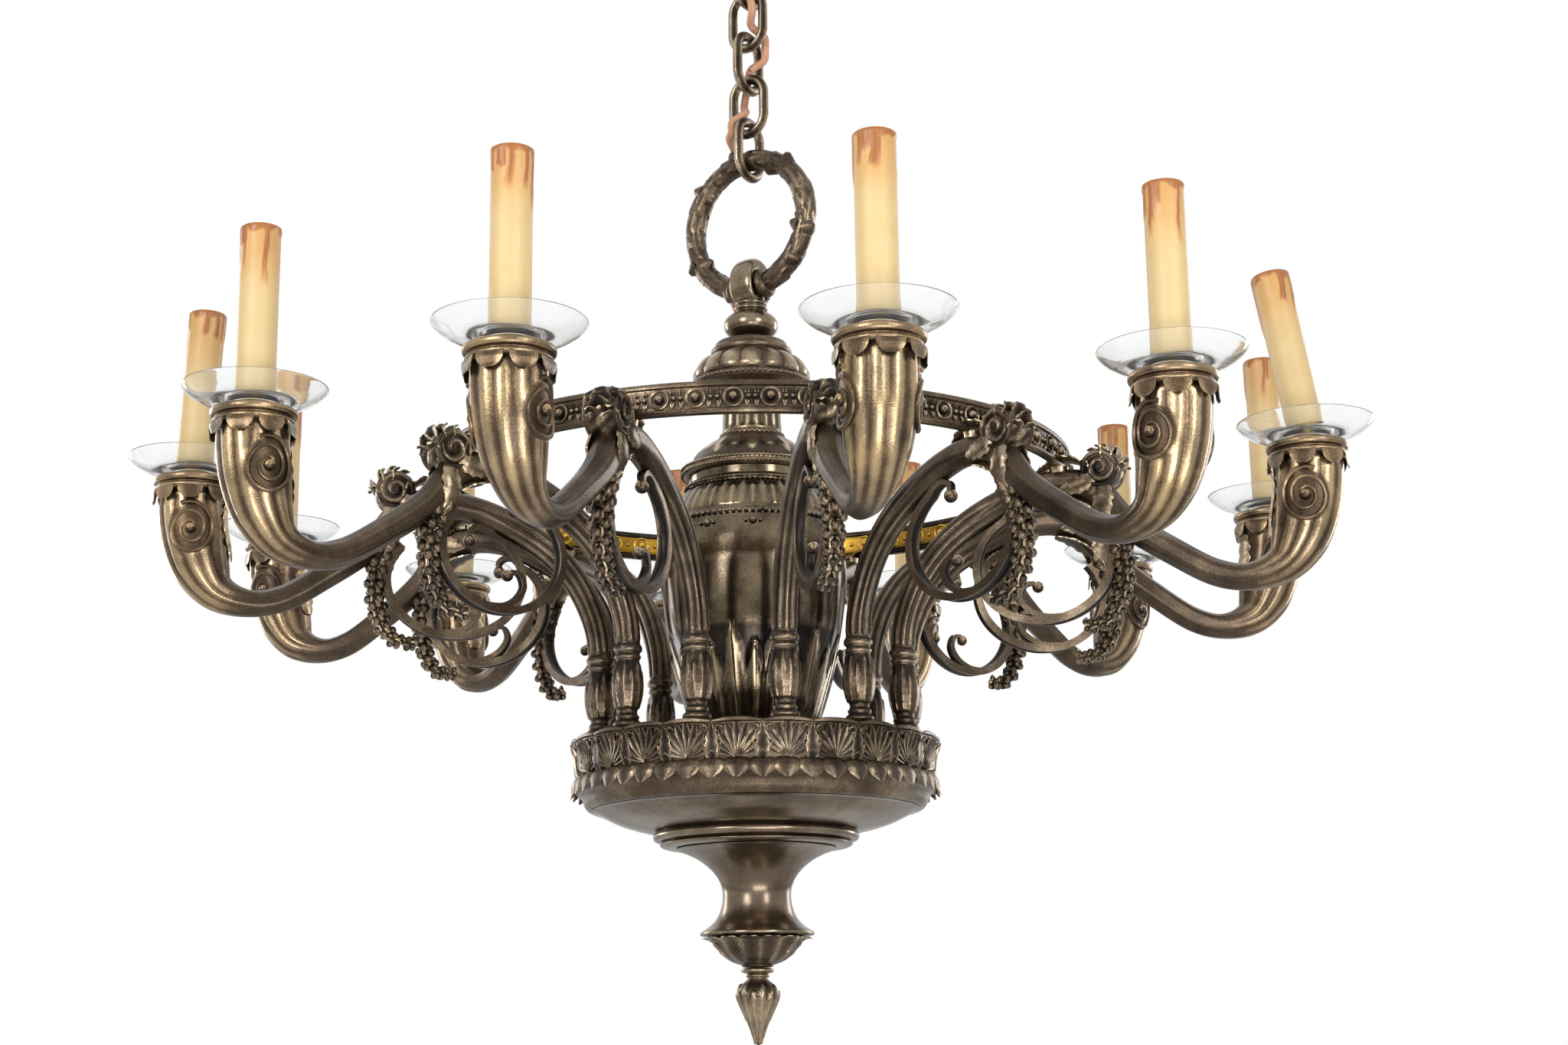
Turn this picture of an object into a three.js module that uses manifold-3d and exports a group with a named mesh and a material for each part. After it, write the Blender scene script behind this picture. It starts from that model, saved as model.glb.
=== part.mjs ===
// A bronze chandelier: twelve scrolled candle arms round a footed urn, tied by a pearled hoop and
// carried by a wreath ring, four chain links and a ceiling canopy.
// Millimetres, +Z up. The origin is the middle of the ceiling bracket's flat back, on the ceiling.
import * as THREE from "three";
import { mergeVertices } from "three/addons/utils/BufferGeometryUtils.js";
import Module from "manifold-3d";

const wasm = await Module();
wasm.setup();

// Overall layout, seen from above
const ARM_COUNT = 12;
const FIRST_ARM_TURN = 9.6; // degrees from the front towards the right
const ARM_SET = { 1: 0.9, 10: 1.1, 11: -1.2 }; // degrees that an arm stands off its even spacing
const CUP_CIRCLE_R = 400; // where the candles stand
const HOOP_R = 232; // outside of the hoop
const COLUMN_CIRCLE_R = 112; // where the arms' feet stand

// Heights. Level 0 of the chandelier is the plane of the candle cups' rims.
const DECK_DROP = 183; // from the rims down to the deck that the arms stand on
const URN_H = 197;
const LID_H = 30;
const NECK_H = 36;
const CROWN_H = 38;
const KNOB_H = 33; // from the crown to the eye's neck

// Clearances
const TOUCH = 0.3; // between pieces that rest on each other
const PLAY = 0.7; // between links, ring and eye, which swing in one another
const ROD_CLEARANCE = 0.4; // round the central tube

// Arm castings
const FOOT_R = 9.5;
const VASE_R = 10.3;
const SHAFT_R = 9;
const ARM_HALF = 9.5; // half the thickness of the arm at its lowest point
const ARM_LOW = 88; // how far the arm's middle dips below the rims
const CUP_R = 23.5;
const CUP_RIM_R = 27.5;
const CUP_RIM_H = 9;
const SCROLL_STRAP = [5.5, 9]; // thickness and width of the strap under the shoulder
const SCROLL_HALF = [48, 40]; // half width and half height of the strap's oval
const SHOULDER_BOSS_R = 13;
const SHOULDER_BOSS_W = 24;
const GARLAND_HALF = 8;
const GARLAND_DROP = 118;

// Candles
const NIPPLE_R = 5;
const HOLDER_H = 84;
const HOLDER_WALL = 1.6;
const HOLDER_GAP = 2.2; // between the lampholder and the sleeve
const SOCKET_DEPTH = 28;
const SLEEVE_R = 12.5;
const SLEEVE_WALL = 1.5;
const SLEEVE_H = 113;
const SLEEVE_LEAN = { 3: 9, 10: 2.5 }; // degrees inwards, for the candles that stand crooked
const DISH_R = 46;
const DISH_H = 15;
const DISH_FLOOR = 8; // where the sleeve stands
const DISH_GLASS = 2.6;
const DISH_HUB_R = 18.6;

// Hoop
const HOOP_H = 21.5;
const HOOP_WALL = 6;

// Gallery, pan and drop
const DECK_T = 4;
const GALLERY_OVERHANG = 19.8; // from the circle of the arms' feet to the gallery's face
const GALLERY_H = 46.2;
const LIP_H = 2;
const SHELL = 2.5;
const PAN_H = 26;
const TRUMPET_H = 61;
const LEAF_CUP_H = 21.5;
const FINIAL_H = 53;

// Urn, neck and crown
const URN_R = 68;
const URN_MOUTH_R = 47;
const URN_FOOT_R = 42;
const LID_R = 52;
const NECK_R = 22;
const CROWN_R = 44;
const CROWN_STEP_R = 30;
const KNOB_R = 20;
const ROD_R = 5;
const ROD_NUT_R = 10;
const ROD_NUT_H = 8;

// Wreath ring and its eye
const RING_MID_R = 50.7;
const RING_TUBE_R = 8;
const RING_TURN = 35; // degrees that the ring is turned from facing the front
const EYE_HALF_W = 10;
const EYE_WALL = 13;
const EYE_OUTER_R = 16;

// Chain
const LINK_COUNT = 4;
const LINK_WIRE_R = 4;
const LINK_LENGTH = 52;
const LINK_WIDTH = 36;

// Canopy
const LOOP_H = 40;
const SHANK_R = 5;
const CANOPY_R = 60;
const CANOPY_H = 40;
const CANOPY_NUT_R = 12;
const CANOPY_NUT_H = 7;
const LOOP_NECK = 3; // from the loop to the canopy's nut
const BRACKET_T = 4;
const BRACKET_SIZE = [84, 26];
const BOSS_R = 9;
const BLOCK_SIZE = [18, 22, 14];
const LEAD_R = 3;
const LEAD_HOLE_CLEARANCE = 0.5;
const LEAD_OFFSET = 24; // from the axis to the lead where it leaves the canopy

// Smoothness
const ROUND = 24;
const MEDIUM_ROUND = 18;
const SMALL_ROUND = 12;

// Levels that follow from the heights
const deckZ = -DECK_DROP;
const urnZ = deckZ + TOUCH;
const lidZ = urnZ + URN_H + TOUCH;
const neckZ = lidZ + LID_H + TOUCH;
const crownZ = neckZ + NECK_H + TOUCH;
const stemZ = crownZ + CROWN_H + TOUCH;
const eyeRise = RING_MID_R - Math.sqrt(RING_MID_R ** 2 - EYE_HALF_W ** 2);
const eyeBore = RING_TUBE_R + eyeRise + PLAY;
const eyeZ = stemZ + KNOB_H + eyeBore;
const ringZ = eyeZ + RING_MID_R;
const firstWireZ = ringZ + RING_MID_R - RING_TUBE_R - PLAY - LINK_WIRE_R;
const linkPitch = LINK_LENGTH - 4 * LINK_WIRE_R - PLAY;
const loopWireZ = firstWireZ + LINK_COUNT * linkPitch;
const canopyNutZ = loopWireZ - LINK_WIRE_R + LOOP_H + LOOP_NECK;
const canopyZ = canopyNutZ + CANOPY_NUT_H + TOUCH;
const ceilingZ = canopyZ + CANOPY_H;
const hoopZ = TOUCH + 0.2;
const galleryR = COLUMN_CIRCLE_R + GALLERY_OVERHANG;
const galleryZ = deckZ - GALLERY_H;
const panZ = galleryZ - TOUCH;
const trumpetZ = panZ - PAN_H - TOUCH;
const leafCupZ = trumpetZ - TRUMPET_H - TOUCH;
const finialZ = leafCupZ - LEAF_CUP_H - TOUCH;
const rodBore = ROD_R + ROD_CLEARANCE;
const holderR = SLEEVE_R - SLEEVE_WALL - HOLDER_GAP;

const rad = THREE.MathUtils.degToRad;
const whole = new THREE.Group();
const chandelier = new THREE.Group();
chandelier.position.z = -ceilingZ;
whole.add(chandelier);

// Finishes
function finish(color, roughness, metalness) {
  return { color, roughness, metalness };
}
const BRONZE = finish(0x7a6448, 0.42, 0.85);
const BRASS = finish(0xb9923c, 0.35, 0.9);
const GLASS = finish(0xe8f0ee, 0.08, 0);
const WAX = finish(0xe9cf8f, 0.55, 0);
const CABLE = finish(0xd8a07c, 0.5, 0);
const CERAMIC = finish(0xe6e2d8, 0.4, 0);

// One named piece in a group
function piece(parent, name, geometry, look) {
  const { color, roughness, metalness } = look;
  const glass = look === GLASS;
  const material = new THREE.MeshStandardMaterial({
    color, roughness, metalness, transparent: glass, opacity: glass ? 0.3 : 1,
  });
  const mesh = new THREE.Mesh(geometry, material);
  mesh.name = name;
  parent.add(mesh);
  return mesh;
}

// Joining and cutting of closed solids
function solid(geometry) {
  const bare = geometry.clone();
  bare.deleteAttribute("normal");
  bare.deleteAttribute("uv");
  const merged = mergeVertices(bare, 1e-4);
  return new wasm.Manifold(new wasm.Mesh({
    numProp: 3,
    vertProperties: merged.attributes.position.array,
    triVerts: new Uint32Array(merged.index.array),
  }));
}

function skin(made) {
  const { vertProperties, triVerts } = made.getMesh();
  const geometry = new THREE.BufferGeometry();
  geometry.setAttribute("position", new THREE.BufferAttribute(vertProperties, 3));
  geometry.setIndex(new THREE.BufferAttribute(triVerts, 1));
  geometry.computeVertexNormals();
  return geometry;
}

function joined(...geometries) {
  return skin(geometries.map(solid).reduce((a, b) => a.add(b)));
}

function cut(geometry, ...tools) {
  return skin(tools.map(solid).reduce((a, b) => a.subtract(b), solid(geometry)));
}

// A profile of [radius, height] points turned round Z. It runs up the outside, and either ends on
// the axis or comes back down the inside to its first point.
function turned(profile, sides = ROUND) {
  const points = profile.map(([r, z]) => new THREE.Vector2(Math.max(r, 0), z));
  return new THREE.LatheGeometry(points, sides).rotateX(Math.PI / 2);
}

function closedProfile(points) {
  return [...points, points[0]];
}

// A smooth run of [radius, height] points through the given ones
function smooth(points, count) {
  const curve = new THREE.SplineCurve(points.map(([r, z]) => new THREE.Vector2(r, z)));
  return curve.getPoints(count).map((p) => [p.x, p.y]);
}

// A shell: the outside profile, then the same profile one wall further in, and a floor with a bore
function shell(outside, wall, bore) {
  const inside = outside.slice().reverse().map(([r, z]) => [r - wall, z]);
  const floor = outside[0][1];
  const up = inside.filter(([, z]) => z > floor + wall);
  const last = up[up.length - 1];
  return closedProfile([[bore, floor], ...outside, ...up, [last[0], floor + wall], [bore, floor + wall]]);
}

// A skin over rings of points, closed on itself or capped at both ends
function loft(rings, closed = false) {
  const sides = rings[0].length;
  const positions = rings.flat().flatMap((p) => [p.x, p.y, p.z]);
  const index = [];
  const spans = closed ? rings.length : rings.length - 1;
  for (let i = 0; i < spans; i += 1) {
    const next = (i + 1) % rings.length;
    for (let j = 0; j < sides; j += 1) {
      const k = (j + 1) % sides;
      const [a, b, c, d] = [i * sides + j, i * sides + k, next * sides + k, next * sides + j];
      index.push(a, b, c, a, c, d);
    }
  }
  if (!closed) {
    const last = (rings.length - 1) * sides;
    for (let j = 1; j < sides - 1; j += 1) {
      index.push(0, j + 1, j);
      index.push(last, last + j, last + j + 1);
    }
  }
  const geometry = new THREE.BufferGeometry();
  geometry.setAttribute("position", new THREE.Float32BufferAttribute(positions, 3));
  geometry.setIndex(index);
  return geometry;
}

// A ring of points round a place on a path in the XZ plane
function section(x, z, slope, halfThick, halfWide, sides) {
  const ring = [];
  for (let j = 0; j < sides; j += 1) {
    const a = ((j + 0.5) / sides) * 2 * Math.PI;
    const up = halfThick * Math.cos(a);
    ring.push(new THREE.Vector3(x - up * Math.sin(slope), -halfWide * Math.sin(a), z + up * Math.cos(slope)));
  }
  return ring;
}

// A bar along stations of [x, z, half thickness, half width] in the XZ plane
function bar(stations, steps, sides) {
  const path = new THREE.CatmullRomCurve3(stations.map(([x, z]) => new THREE.Vector3(x, 0, z)));
  const sizes = new THREE.CatmullRomCurve3(stations.map(([, , t, w]) => new THREE.Vector3(t, w, 0)));
  const rings = [];
  for (let i = 0; i <= steps; i += 1) {
    const at = path.getPoint(i / steps);
    const along = path.getTangent(i / steps);
    const size = sizes.getPoint(i / steps);
    rings.push(section(at.x, at.z, Math.atan2(along.z, along.x), size.x, size.y, sides));
  }
  return loft(rings);
}

// A link: round wire bent to an oval with straight sides, standing in the XZ plane with the middle
// of its lower wire at the origin
function linkGeometry(length, width, wire, sides = 6, bend = 5) {
  const reach = width / 2 - wire;
  const top = length - 2 * wire - reach;
  const stations = [];
  for (const [middle, from] of [[reach, Math.PI], [top, 0]]) {
    for (let i = 0; i <= bend; i += 1) {
      const a = from + (i / bend) * Math.PI;
      stations.push([reach * Math.cos(a), middle + reach * Math.sin(a), a + Math.PI / 2]);
    }
  }
  return loft(stations.map(([x, z, slope]) => section(x, z, slope, wire, wire, sides)), true);
}

// Arm casting, in the XZ plane with the chandelier's axis as Z: foot, leaf-wrapped vase, fluted
// column, shoulder, dipped arm and candle cup
function armStations() {
  const foot = deckZ + TOUCH;
  const col = COLUMN_CIRCLE_R;
  const reach = CUP_CIRCLE_R - HOOP_R;
  const lowX = HOOP_R + 0.75 * reach;
  const column = [
    [col, foot, FOOT_R, FOOT_R],
    [col, foot + 9, FOOT_R, FOOT_R],
    [col, foot + 16, SHAFT_R - 2, SHAFT_R - 2],
    [col, foot + 34, VASE_R, VASE_R],
    [col, foot + 54, SHAFT_R - 0.5, SHAFT_R - 0.5],
    [col, foot + 63, SHAFT_R, SHAFT_R],
  ];
  const rise = HOOP_R - col;
  const shoulder = [
    [col + 0.02 * rise, -0.55 * DECK_DROP, SHAFT_R, SHAFT_R],
    [col + 0.12 * rise, -0.39 * DECK_DROP, SHAFT_R + 0.5, SHAFT_R],
    [col + 0.28 * rise, -0.26 * DECK_DROP, SHAFT_R + 1, SHAFT_R],
    [col + 0.5 * rise, -0.16 * DECK_DROP, SHAFT_R + 1.5, SHAFT_R],
    [col + 0.75 * rise, -16, SHAFT_R + 0.5, SHAFT_R + 0.5],
    [HOOP_R - 3, -11.5, SHAFT_R + 1, SHAFT_R + 1],
    [HOOP_R + 0.11 * reach, -17, SHAFT_R + 2, SHAFT_R + 1],
  ];
  const dip = [
    [HOOP_R + 0.26 * reach, -ARM_LOW + 44, ARM_HALF, ARM_HALF + 1],
    [HOOP_R + 0.44 * reach, -ARM_LOW + 22, ARM_HALF - 0.5, ARM_HALF],
    [lowX - 0.13 * reach, -ARM_LOW + 4, ARM_HALF - 0.5, ARM_HALF],
    [lowX, -ARM_LOW, ARM_HALF, ARM_HALF + 1],
    [lowX + 0.13 * reach, -ARM_LOW + 7, ARM_HALF + 4, ARM_HALF + 5],
  ];
  const cup = [
    [CUP_CIRCLE_R - 9, -0.74 * ARM_LOW, CUP_R - 4, CUP_R - 4],
    [CUP_CIRCLE_R - 3, -0.5 * ARM_LOW, CUP_R - 0.5, CUP_R - 1],
    [CUP_CIRCLE_R, -0.25 * ARM_LOW, CUP_R, CUP_R],
    [CUP_CIRCLE_R, -CUP_RIM_H + 1, CUP_R, CUP_R],
  ];
  return [...column, ...shoulder, ...dip, ...cup];
}

function armBody() {
  return bar(armStations(), 18, 7);
}

function cupRim() {
  const rim = turned([
    [0, -CUP_RIM_H],
    [CUP_R + 1, -CUP_RIM_H],
    [CUP_RIM_R, -CUP_RIM_H + 3],
    [CUP_RIM_R, -1.5],
    [CUP_RIM_R - 1.5, 0],
    [0, 0],
  ], SMALL_ROUND);
  return rim.translate(CUP_CIRCLE_R, 0, 0);
}

// The strap that curls from the shoulder down and back under the arm
function scrollStrap() {
  const [halfX, halfZ] = SCROLL_HALF;
  const [thick, wide] = SCROLL_STRAP;
  const middle = [HOOP_R - 16, -68];
  const start = rad(30);
  const turn = rad(-265);
  const steps = 11;
  const rings = [];
  for (let i = 0; i <= steps; i += 1) {
    const a = start + (turn * i) / steps;
    const slope = Math.atan2(-halfZ * Math.cos(a), halfX * Math.sin(a));
    rings.push(section(
      middle[0] + halfX * Math.cos(a), middle[1] + halfZ * Math.sin(a), slope,
      (thick / 2) * Math.SQRT2, (wide / 2) * Math.SQRT2, 4,
    ));
  }
  return loft(rings);
}

// The rosette scroll on the shoulder, lying across the arm
function shoulderBoss() {
  const boss = new THREE.CylinderGeometry(SHOULDER_BOSS_R, SHOULDER_BOSS_R, SHOULDER_BOSS_W, 8);
  return boss.translate(HOOP_R + 23, 0, -2);
}

// The seat that the hoop rests on
function hoopSeat() {
  const top = hoopZ - TOUCH;
  const deep = 14;
  const seat = new THREE.BoxGeometry(HOOP_WALL + 6, 14, deep);
  return seat.translate(HOOP_R - HOOP_WALL / 2, 0, top - deep / 2);
}

// The leaf and husks that hang beside the strap, with their tip turned inwards
function garland() {
  const x = HOOP_R + 34;
  return bar([
    [x - 10, -24, GARLAND_HALF - 1, GARLAND_HALF + 1],
    [x, -52, GARLAND_HALF, GARLAND_HALF],
    [x + 4, -84, GARLAND_HALF, GARLAND_HALF - 1],
    [x - 2, -GARLAND_DROP + 12, GARLAND_HALF - 1, GARLAND_HALF - 2],
    [x - 16, -GARLAND_DROP + 4, 3, 4],
  ], 5, 5);
}

// The threaded nipple that goes up through the glass dish into the lampholder
function nipple() {
  const [low, high] = [-4, DISH_FLOOR + 7];
  const stud = new THREE.CylinderGeometry(NIPPLE_R, NIPPLE_R, high - low, 8).rotateX(Math.PI / 2);
  return stud.translate(CUP_CIRCLE_R, 0, (low + high) / 2);
}

// The lampholder, which leans with a crooked candle
function lampholder() {
  const foot = DISH_FLOOR + TOUCH;
  const mouth = foot + HOLDER_H;
  const well = holderR - HOLDER_WALL;
  return turned([
    [0, foot],
    [holderR, foot],
    [holderR, mouth],
    [well, mouth],
    [well, mouth - SOCKET_DEPTH],
    [0, mouth - SOCKET_DEPTH],
  ], 8);
}

function leanOf(number) {
  return rad(SLEEVE_LEAN[number] ?? 0);
}

// Turns a piece about the middle of the dish's floor, lifted so that its edge stays on the glass
function leaned(geometry, angle, edge) {
  return geometry.translate(0, 0, -DISH_FLOOR)
    .rotateY(-angle)
    .translate(0, 0, DISH_FLOOR + edge * Math.sin(angle));
}

function dish() {
  const hub = DISH_HUB_R;
  const hubWall = DISH_GLASS;
  const floorUnder = DISH_FLOOR - DISH_GLASS;
  const hole = NIPPLE_R + ROD_CLEARANCE;
  return turned(closedProfile([
    [hub - hubWall, TOUCH],
    [hub, TOUCH],
    [0.72 * DISH_R, floorUnder - 1],
    [DISH_R, DISH_H - 1],
    [DISH_R - 1.5, DISH_H],
    [0.68 * DISH_R, DISH_FLOOR - 1],
    [hub - hubWall, DISH_FLOOR],
    [hole, DISH_FLOOR],
    [hole, floorUnder],
    [hub - hubWall, floorUnder],
  ]), SMALL_ROUND);
}

function sleeve() {
  const foot = DISH_FLOOR + TOUCH;
  const inner = SLEEVE_R - SLEEVE_WALL;
  return turned(closedProfile([
    [inner, foot],
    [SLEEVE_R, foot],
    [SLEEVE_R, foot + SLEEVE_H],
    [inner, foot + SLEEVE_H],
  ]), SMALL_ROUND);
}

function buildArms() {
  const casting = [armBody(), cupRim(), nipple(), scrollStrap(), shoulderBoss(), hoopSeat(), garland()];
  for (let number = 1; number <= ARM_COUNT; number += 1) {
    const label = String(number).padStart(2, "0");
    const turn = rad(FIRST_ARM_TURN - 90 + (ARM_SET[number] ?? 0) + ((number - 1) * 360) / ARM_COUNT);
    const place = new THREE.Group();
    place.rotation.z = turn;
    chandelier.add(place);
    const holder = leaned(lampholder(), leanOf(number), SLEEVE_R).translate(CUP_CIRCLE_R, 0, 0);
    piece(place, `arm_${label}`, joined(...casting, holder), BRONZE);
    piece(place, `bobeche_${label}`, dish(), GLASS).position.x = CUP_CIRCLE_R;
    const candle = leaned(sleeve(), leanOf(number), SLEEVE_R);
    piece(place, `candle_sleeve_${label}`, candle, WAX).position.x = CUP_CIRCLE_R;
  }
}

// The pearled hoop that ties the shoulders together
function buildHoop() {
  const [outer, inner] = [HOOP_R, HOOP_R - HOOP_WALL];
  const top = hoopZ + HOOP_H;
  piece(chandelier, "hoop", turned(closedProfile([
    [inner, hoopZ], [outer, hoopZ], [outer, top], [inner, top],
  ]), 36), BRONZE);
}

// Gallery: a cast band with a deck that the arms and the urn stand on
function buildGallery() {
  const top = deckZ + LIP_H;
  const edge = galleryR - 14.5;
  const face = [
    [edge, galleryZ],
    [galleryR - 7, galleryZ + 7],
    [galleryR, galleryZ + 13],
    [galleryR - 5, galleryZ + 0.63 * GALLERY_H],
    [galleryR, top],
  ];
  const inside = [
    [galleryR - 8, top],
    [galleryR - 8, deckZ],
    [rodBore, deckZ],
    [rodBore, deckZ - DECK_T],
    [galleryR - 9, deckZ - DECK_T],
    [galleryR - 10, galleryZ + 9],
    [edge - SHELL, galleryZ],
  ];
  piece(chandelier, "gallery_band", turned(closedProfile([...face, ...inside])), BRONZE);
}

// Pan: a spun dish that closes the gallery from below
function buildPan() {
  const rim = galleryR - 14.5;
  const floor = panZ - PAN_H;
  const outside = [
    [0.53 * rim, floor],
    [0.6 * rim, floor + 3],
    [0.62 * rim, floor + 7],
    [0.64 * rim, floor + 12],
    [0.84 * rim, floor + 0.72 * PAN_H],
    [rim, panZ],
  ];
  piece(chandelier, "bowl_pan", turned(shell(outside, SHELL, rodBore), MEDIUM_ROUND), BRONZE);
}

// Trumpet, leaf cup and drop under the pan
function buildDrop() {
  const trumpet = smooth([
    [40.4, 0], [39, 3], [28, 12], [24.2, 28], [28, 40], [38, 50], [56, 0.985 * TRUMPET_H],
  ], 8).map(([r, z]) => [r, trumpetZ - TRUMPET_H + z]);
  const top = trumpetZ;
  piece(chandelier, "pendant_trumpet", turned(closedProfile([
    [rodBore, trumpetZ - TRUMPET_H], ...trumpet, [56, top], [rodBore, top],
  ]), MEDIUM_ROUND), BRONZE);
  const cup = leafCupZ - LEAF_CUP_H;
  piece(chandelier, "leaf_cup", turned(closedProfile([
    [rodBore, cup], [11, cup], [15, cup + 3], [26, cup + 10], [31, cup + 17], [35, leafCupZ], [rodBore, leafCupZ],
  ]), MEDIUM_ROUND), BRONZE);
  const tip = finialZ - FINIAL_H;
  piece(chandelier, "finial_drop", turned([
    [0, tip], [2.5, tip + 3], [6.4, tip + 14], [13, tip + 30], [14.5, tip + 36], [12, tip + 42],
    [7.5, tip + 48], [10.5, tip + 51], [11, finialZ], [rodBore, finialZ], [rodBore, finialZ - 14],
    [0, finialZ - 14],
  ], SMALL_ROUND), BRONZE);
}

// Urn, lid and fluted neck
function buildUrn() {
  const body = smooth([
    [URN_FOOT_R, 0], [0.68 * URN_R, 0.1], [0.82 * URN_R, 0.26], [0.93 * URN_R, 0.42],
    [URN_R, 0.62], [0.97 * URN_R, 0.74], [0.87 * URN_R, 0.86], [URN_MOUTH_R, 0.96], [URN_MOUTH_R, 1],
  ], 8).map(([r, z]) => [r, urnZ + z * URN_H]);
  piece(chandelier, "urn_body", turned(shell(body, SHELL, rodBore), MEDIUM_ROUND), BRONZE);
  const lid = [
    [URN_MOUTH_R, lidZ], [LID_R, lidZ + 2], [LID_R, lidZ + 6], [0.86 * LID_R, lidZ + 10],
    [0.78 * LID_R, lidZ + 17], [0.6 * LID_R, lidZ + 24], [NECK_R + 3, lidZ + LID_H],
  ];
  piece(chandelier, "urn_lid", turned(closedProfile([
    [rodBore, lidZ], ...lid, [rodBore, lidZ + LID_H],
  ]), MEDIUM_ROUND), BRONZE);
  piece(chandelier, "neck_collar", turned(closedProfile([
    [rodBore, neckZ], [NECK_R + 1, neckZ], [NECK_R, neckZ + 3], [NECK_R - 1, neckZ + NECK_H - 4],
    [NECK_R + 4, neckZ + NECK_H], [rodBore, neckZ + NECK_H],
  ]), MEDIUM_ROUND), BRONZE);
}

// Crown: a gadrooned dome with a small step, and a hole that takes the supply lead
function buildCrown() {
  const top = crownZ + CROWN_H;
  const dome = turned(closedProfile([
    [rodBore, crownZ], [CROWN_R - 6, crownZ], [CROWN_R, crownZ + 5], [CROWN_R - 2, crownZ + 13],
    [CROWN_R - 10, crownZ + 24], [CROWN_STEP_R, crownZ + 28], [CROWN_STEP_R, top], [rodBore, top],
  ]), MEDIUM_ROUND);
  const hole = new THREE.CylinderGeometry(
    LEAD_R + LEAD_HOLE_CLEARANCE, LEAD_R + LEAD_HOLE_CLEARANCE, 2 * CROWN_H, 8,
  ).rotateX(Math.PI / 2);
  const [n, t] = LEAD_END;
  const at = acrossRing(n, t, top);
  piece(chandelier, "crown_dome", cut(dome, hole.translate(at.x, at.y, at.z)), BRONZE);
}

// Hanging stem: a knob, and an eye whose bore takes the wreath ring
function buildStem() {
  const neck = stemZ + KNOB_H;
  const knob = turned([
    [0, stemZ], [KNOB_R - 8, stemZ], [KNOB_R - 7, stemZ + 3], [KNOB_R, stemZ + 10], [KNOB_R, stemZ + 17],
    [KNOB_R - 8, stemZ + 25], [KNOB_R - 8.5, neck - 4], [EYE_HALF_W, neck + 4], [0, neck + 4],
  ], 16);
  const eye = new THREE.CylinderGeometry(EYE_OUTER_R, EYE_OUTER_R, 2 * EYE_HALF_W, 16);
  eye.rotateZ(Math.PI / 2).translate(0, 0, eyeZ);
  const crest = new THREE.BoxGeometry(2 * EYE_HALF_W, 2 * EYE_OUTER_R - 8, EYE_WALL);
  crest.translate(0, 0, eyeZ + eyeBore + EYE_WALL / 2);
  const bore = new THREE.CylinderGeometry(eyeBore, eyeBore, 4 * EYE_HALF_W, 16);
  bore.rotateZ(Math.PI / 2).translate(0, 0, eyeZ);
  const socket = new THREE.CylinderGeometry(rodBore, rodBore, 24, SMALL_ROUND);
  socket.rotateX(Math.PI / 2).translate(0, 0, stemZ);
  piece(ringPlace, "hanging_stem", cut(joined(knob, eye, crest), bore, socket), BRONZE);
}

// The tube that threads every turned piece together, with its nut under the deck
function buildRod() {
  const low = finialZ - 13;
  const high = stemZ + 11;
  const rod = new THREE.CylinderGeometry(ROD_R, ROD_R, high - low, 10).rotateX(Math.PI / 2);
  piece(chandelier, "central_tube", rod.translate(0, 0, (low + high) / 2), BRASS);
  const nutTop = deckZ - DECK_T - TOUCH;
  const nut = new THREE.CylinderGeometry(ROD_NUT_R, ROD_NUT_R, ROD_NUT_H, 6).rotateX(Math.PI / 2);
  const bore = new THREE.CylinderGeometry(rodBore, rodBore, 2 * ROD_NUT_H, SMALL_ROUND).rotateX(Math.PI / 2);
  const place = nutTop - ROD_NUT_H / 2;
  piece(chandelier, "rod_nut", cut(nut, bore).translate(0, 0, place), BRASS);
}

// The ring's own frame: X runs across the ring in its plane, Y through it
const ringPlace = new THREE.Group();
ringPlace.rotation.z = -rad(RING_TURN);
chandelier.add(ringPlace);

// A place given by n, forward through the ring, and t, across it to the right
function acrossRing(n, t, z) {
  return new THREE.Vector3(t, -n, z).applyAxisAngle(new THREE.Vector3(0, 0, 1), -rad(RING_TURN));
}

function buildRing() {
  const ring = new THREE.TorusGeometry(RING_MID_R, RING_TUBE_R, 8, 24).rotateX(Math.PI / 2);
  piece(ringPlace, "wreath_ring", ring.translate(0, 0, ringZ), BRONZE);
}

// Links are numbered from the ring up. The odd ones stand across the ring's plane.
function buildChain() {
  for (let number = 1; number <= LINK_COUNT; number += 1) {
    const link = linkGeometry(LINK_LENGTH, LINK_WIDTH, LINK_WIRE_R);
    if (number % 2 === 1) link.rotateZ(Math.PI / 2);
    link.translate(0, 0, firstWireZ + (number - 1) * linkPitch);
    piece(ringPlace, `chain_link_${number}`, link, BRONZE);
  }
}

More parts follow.
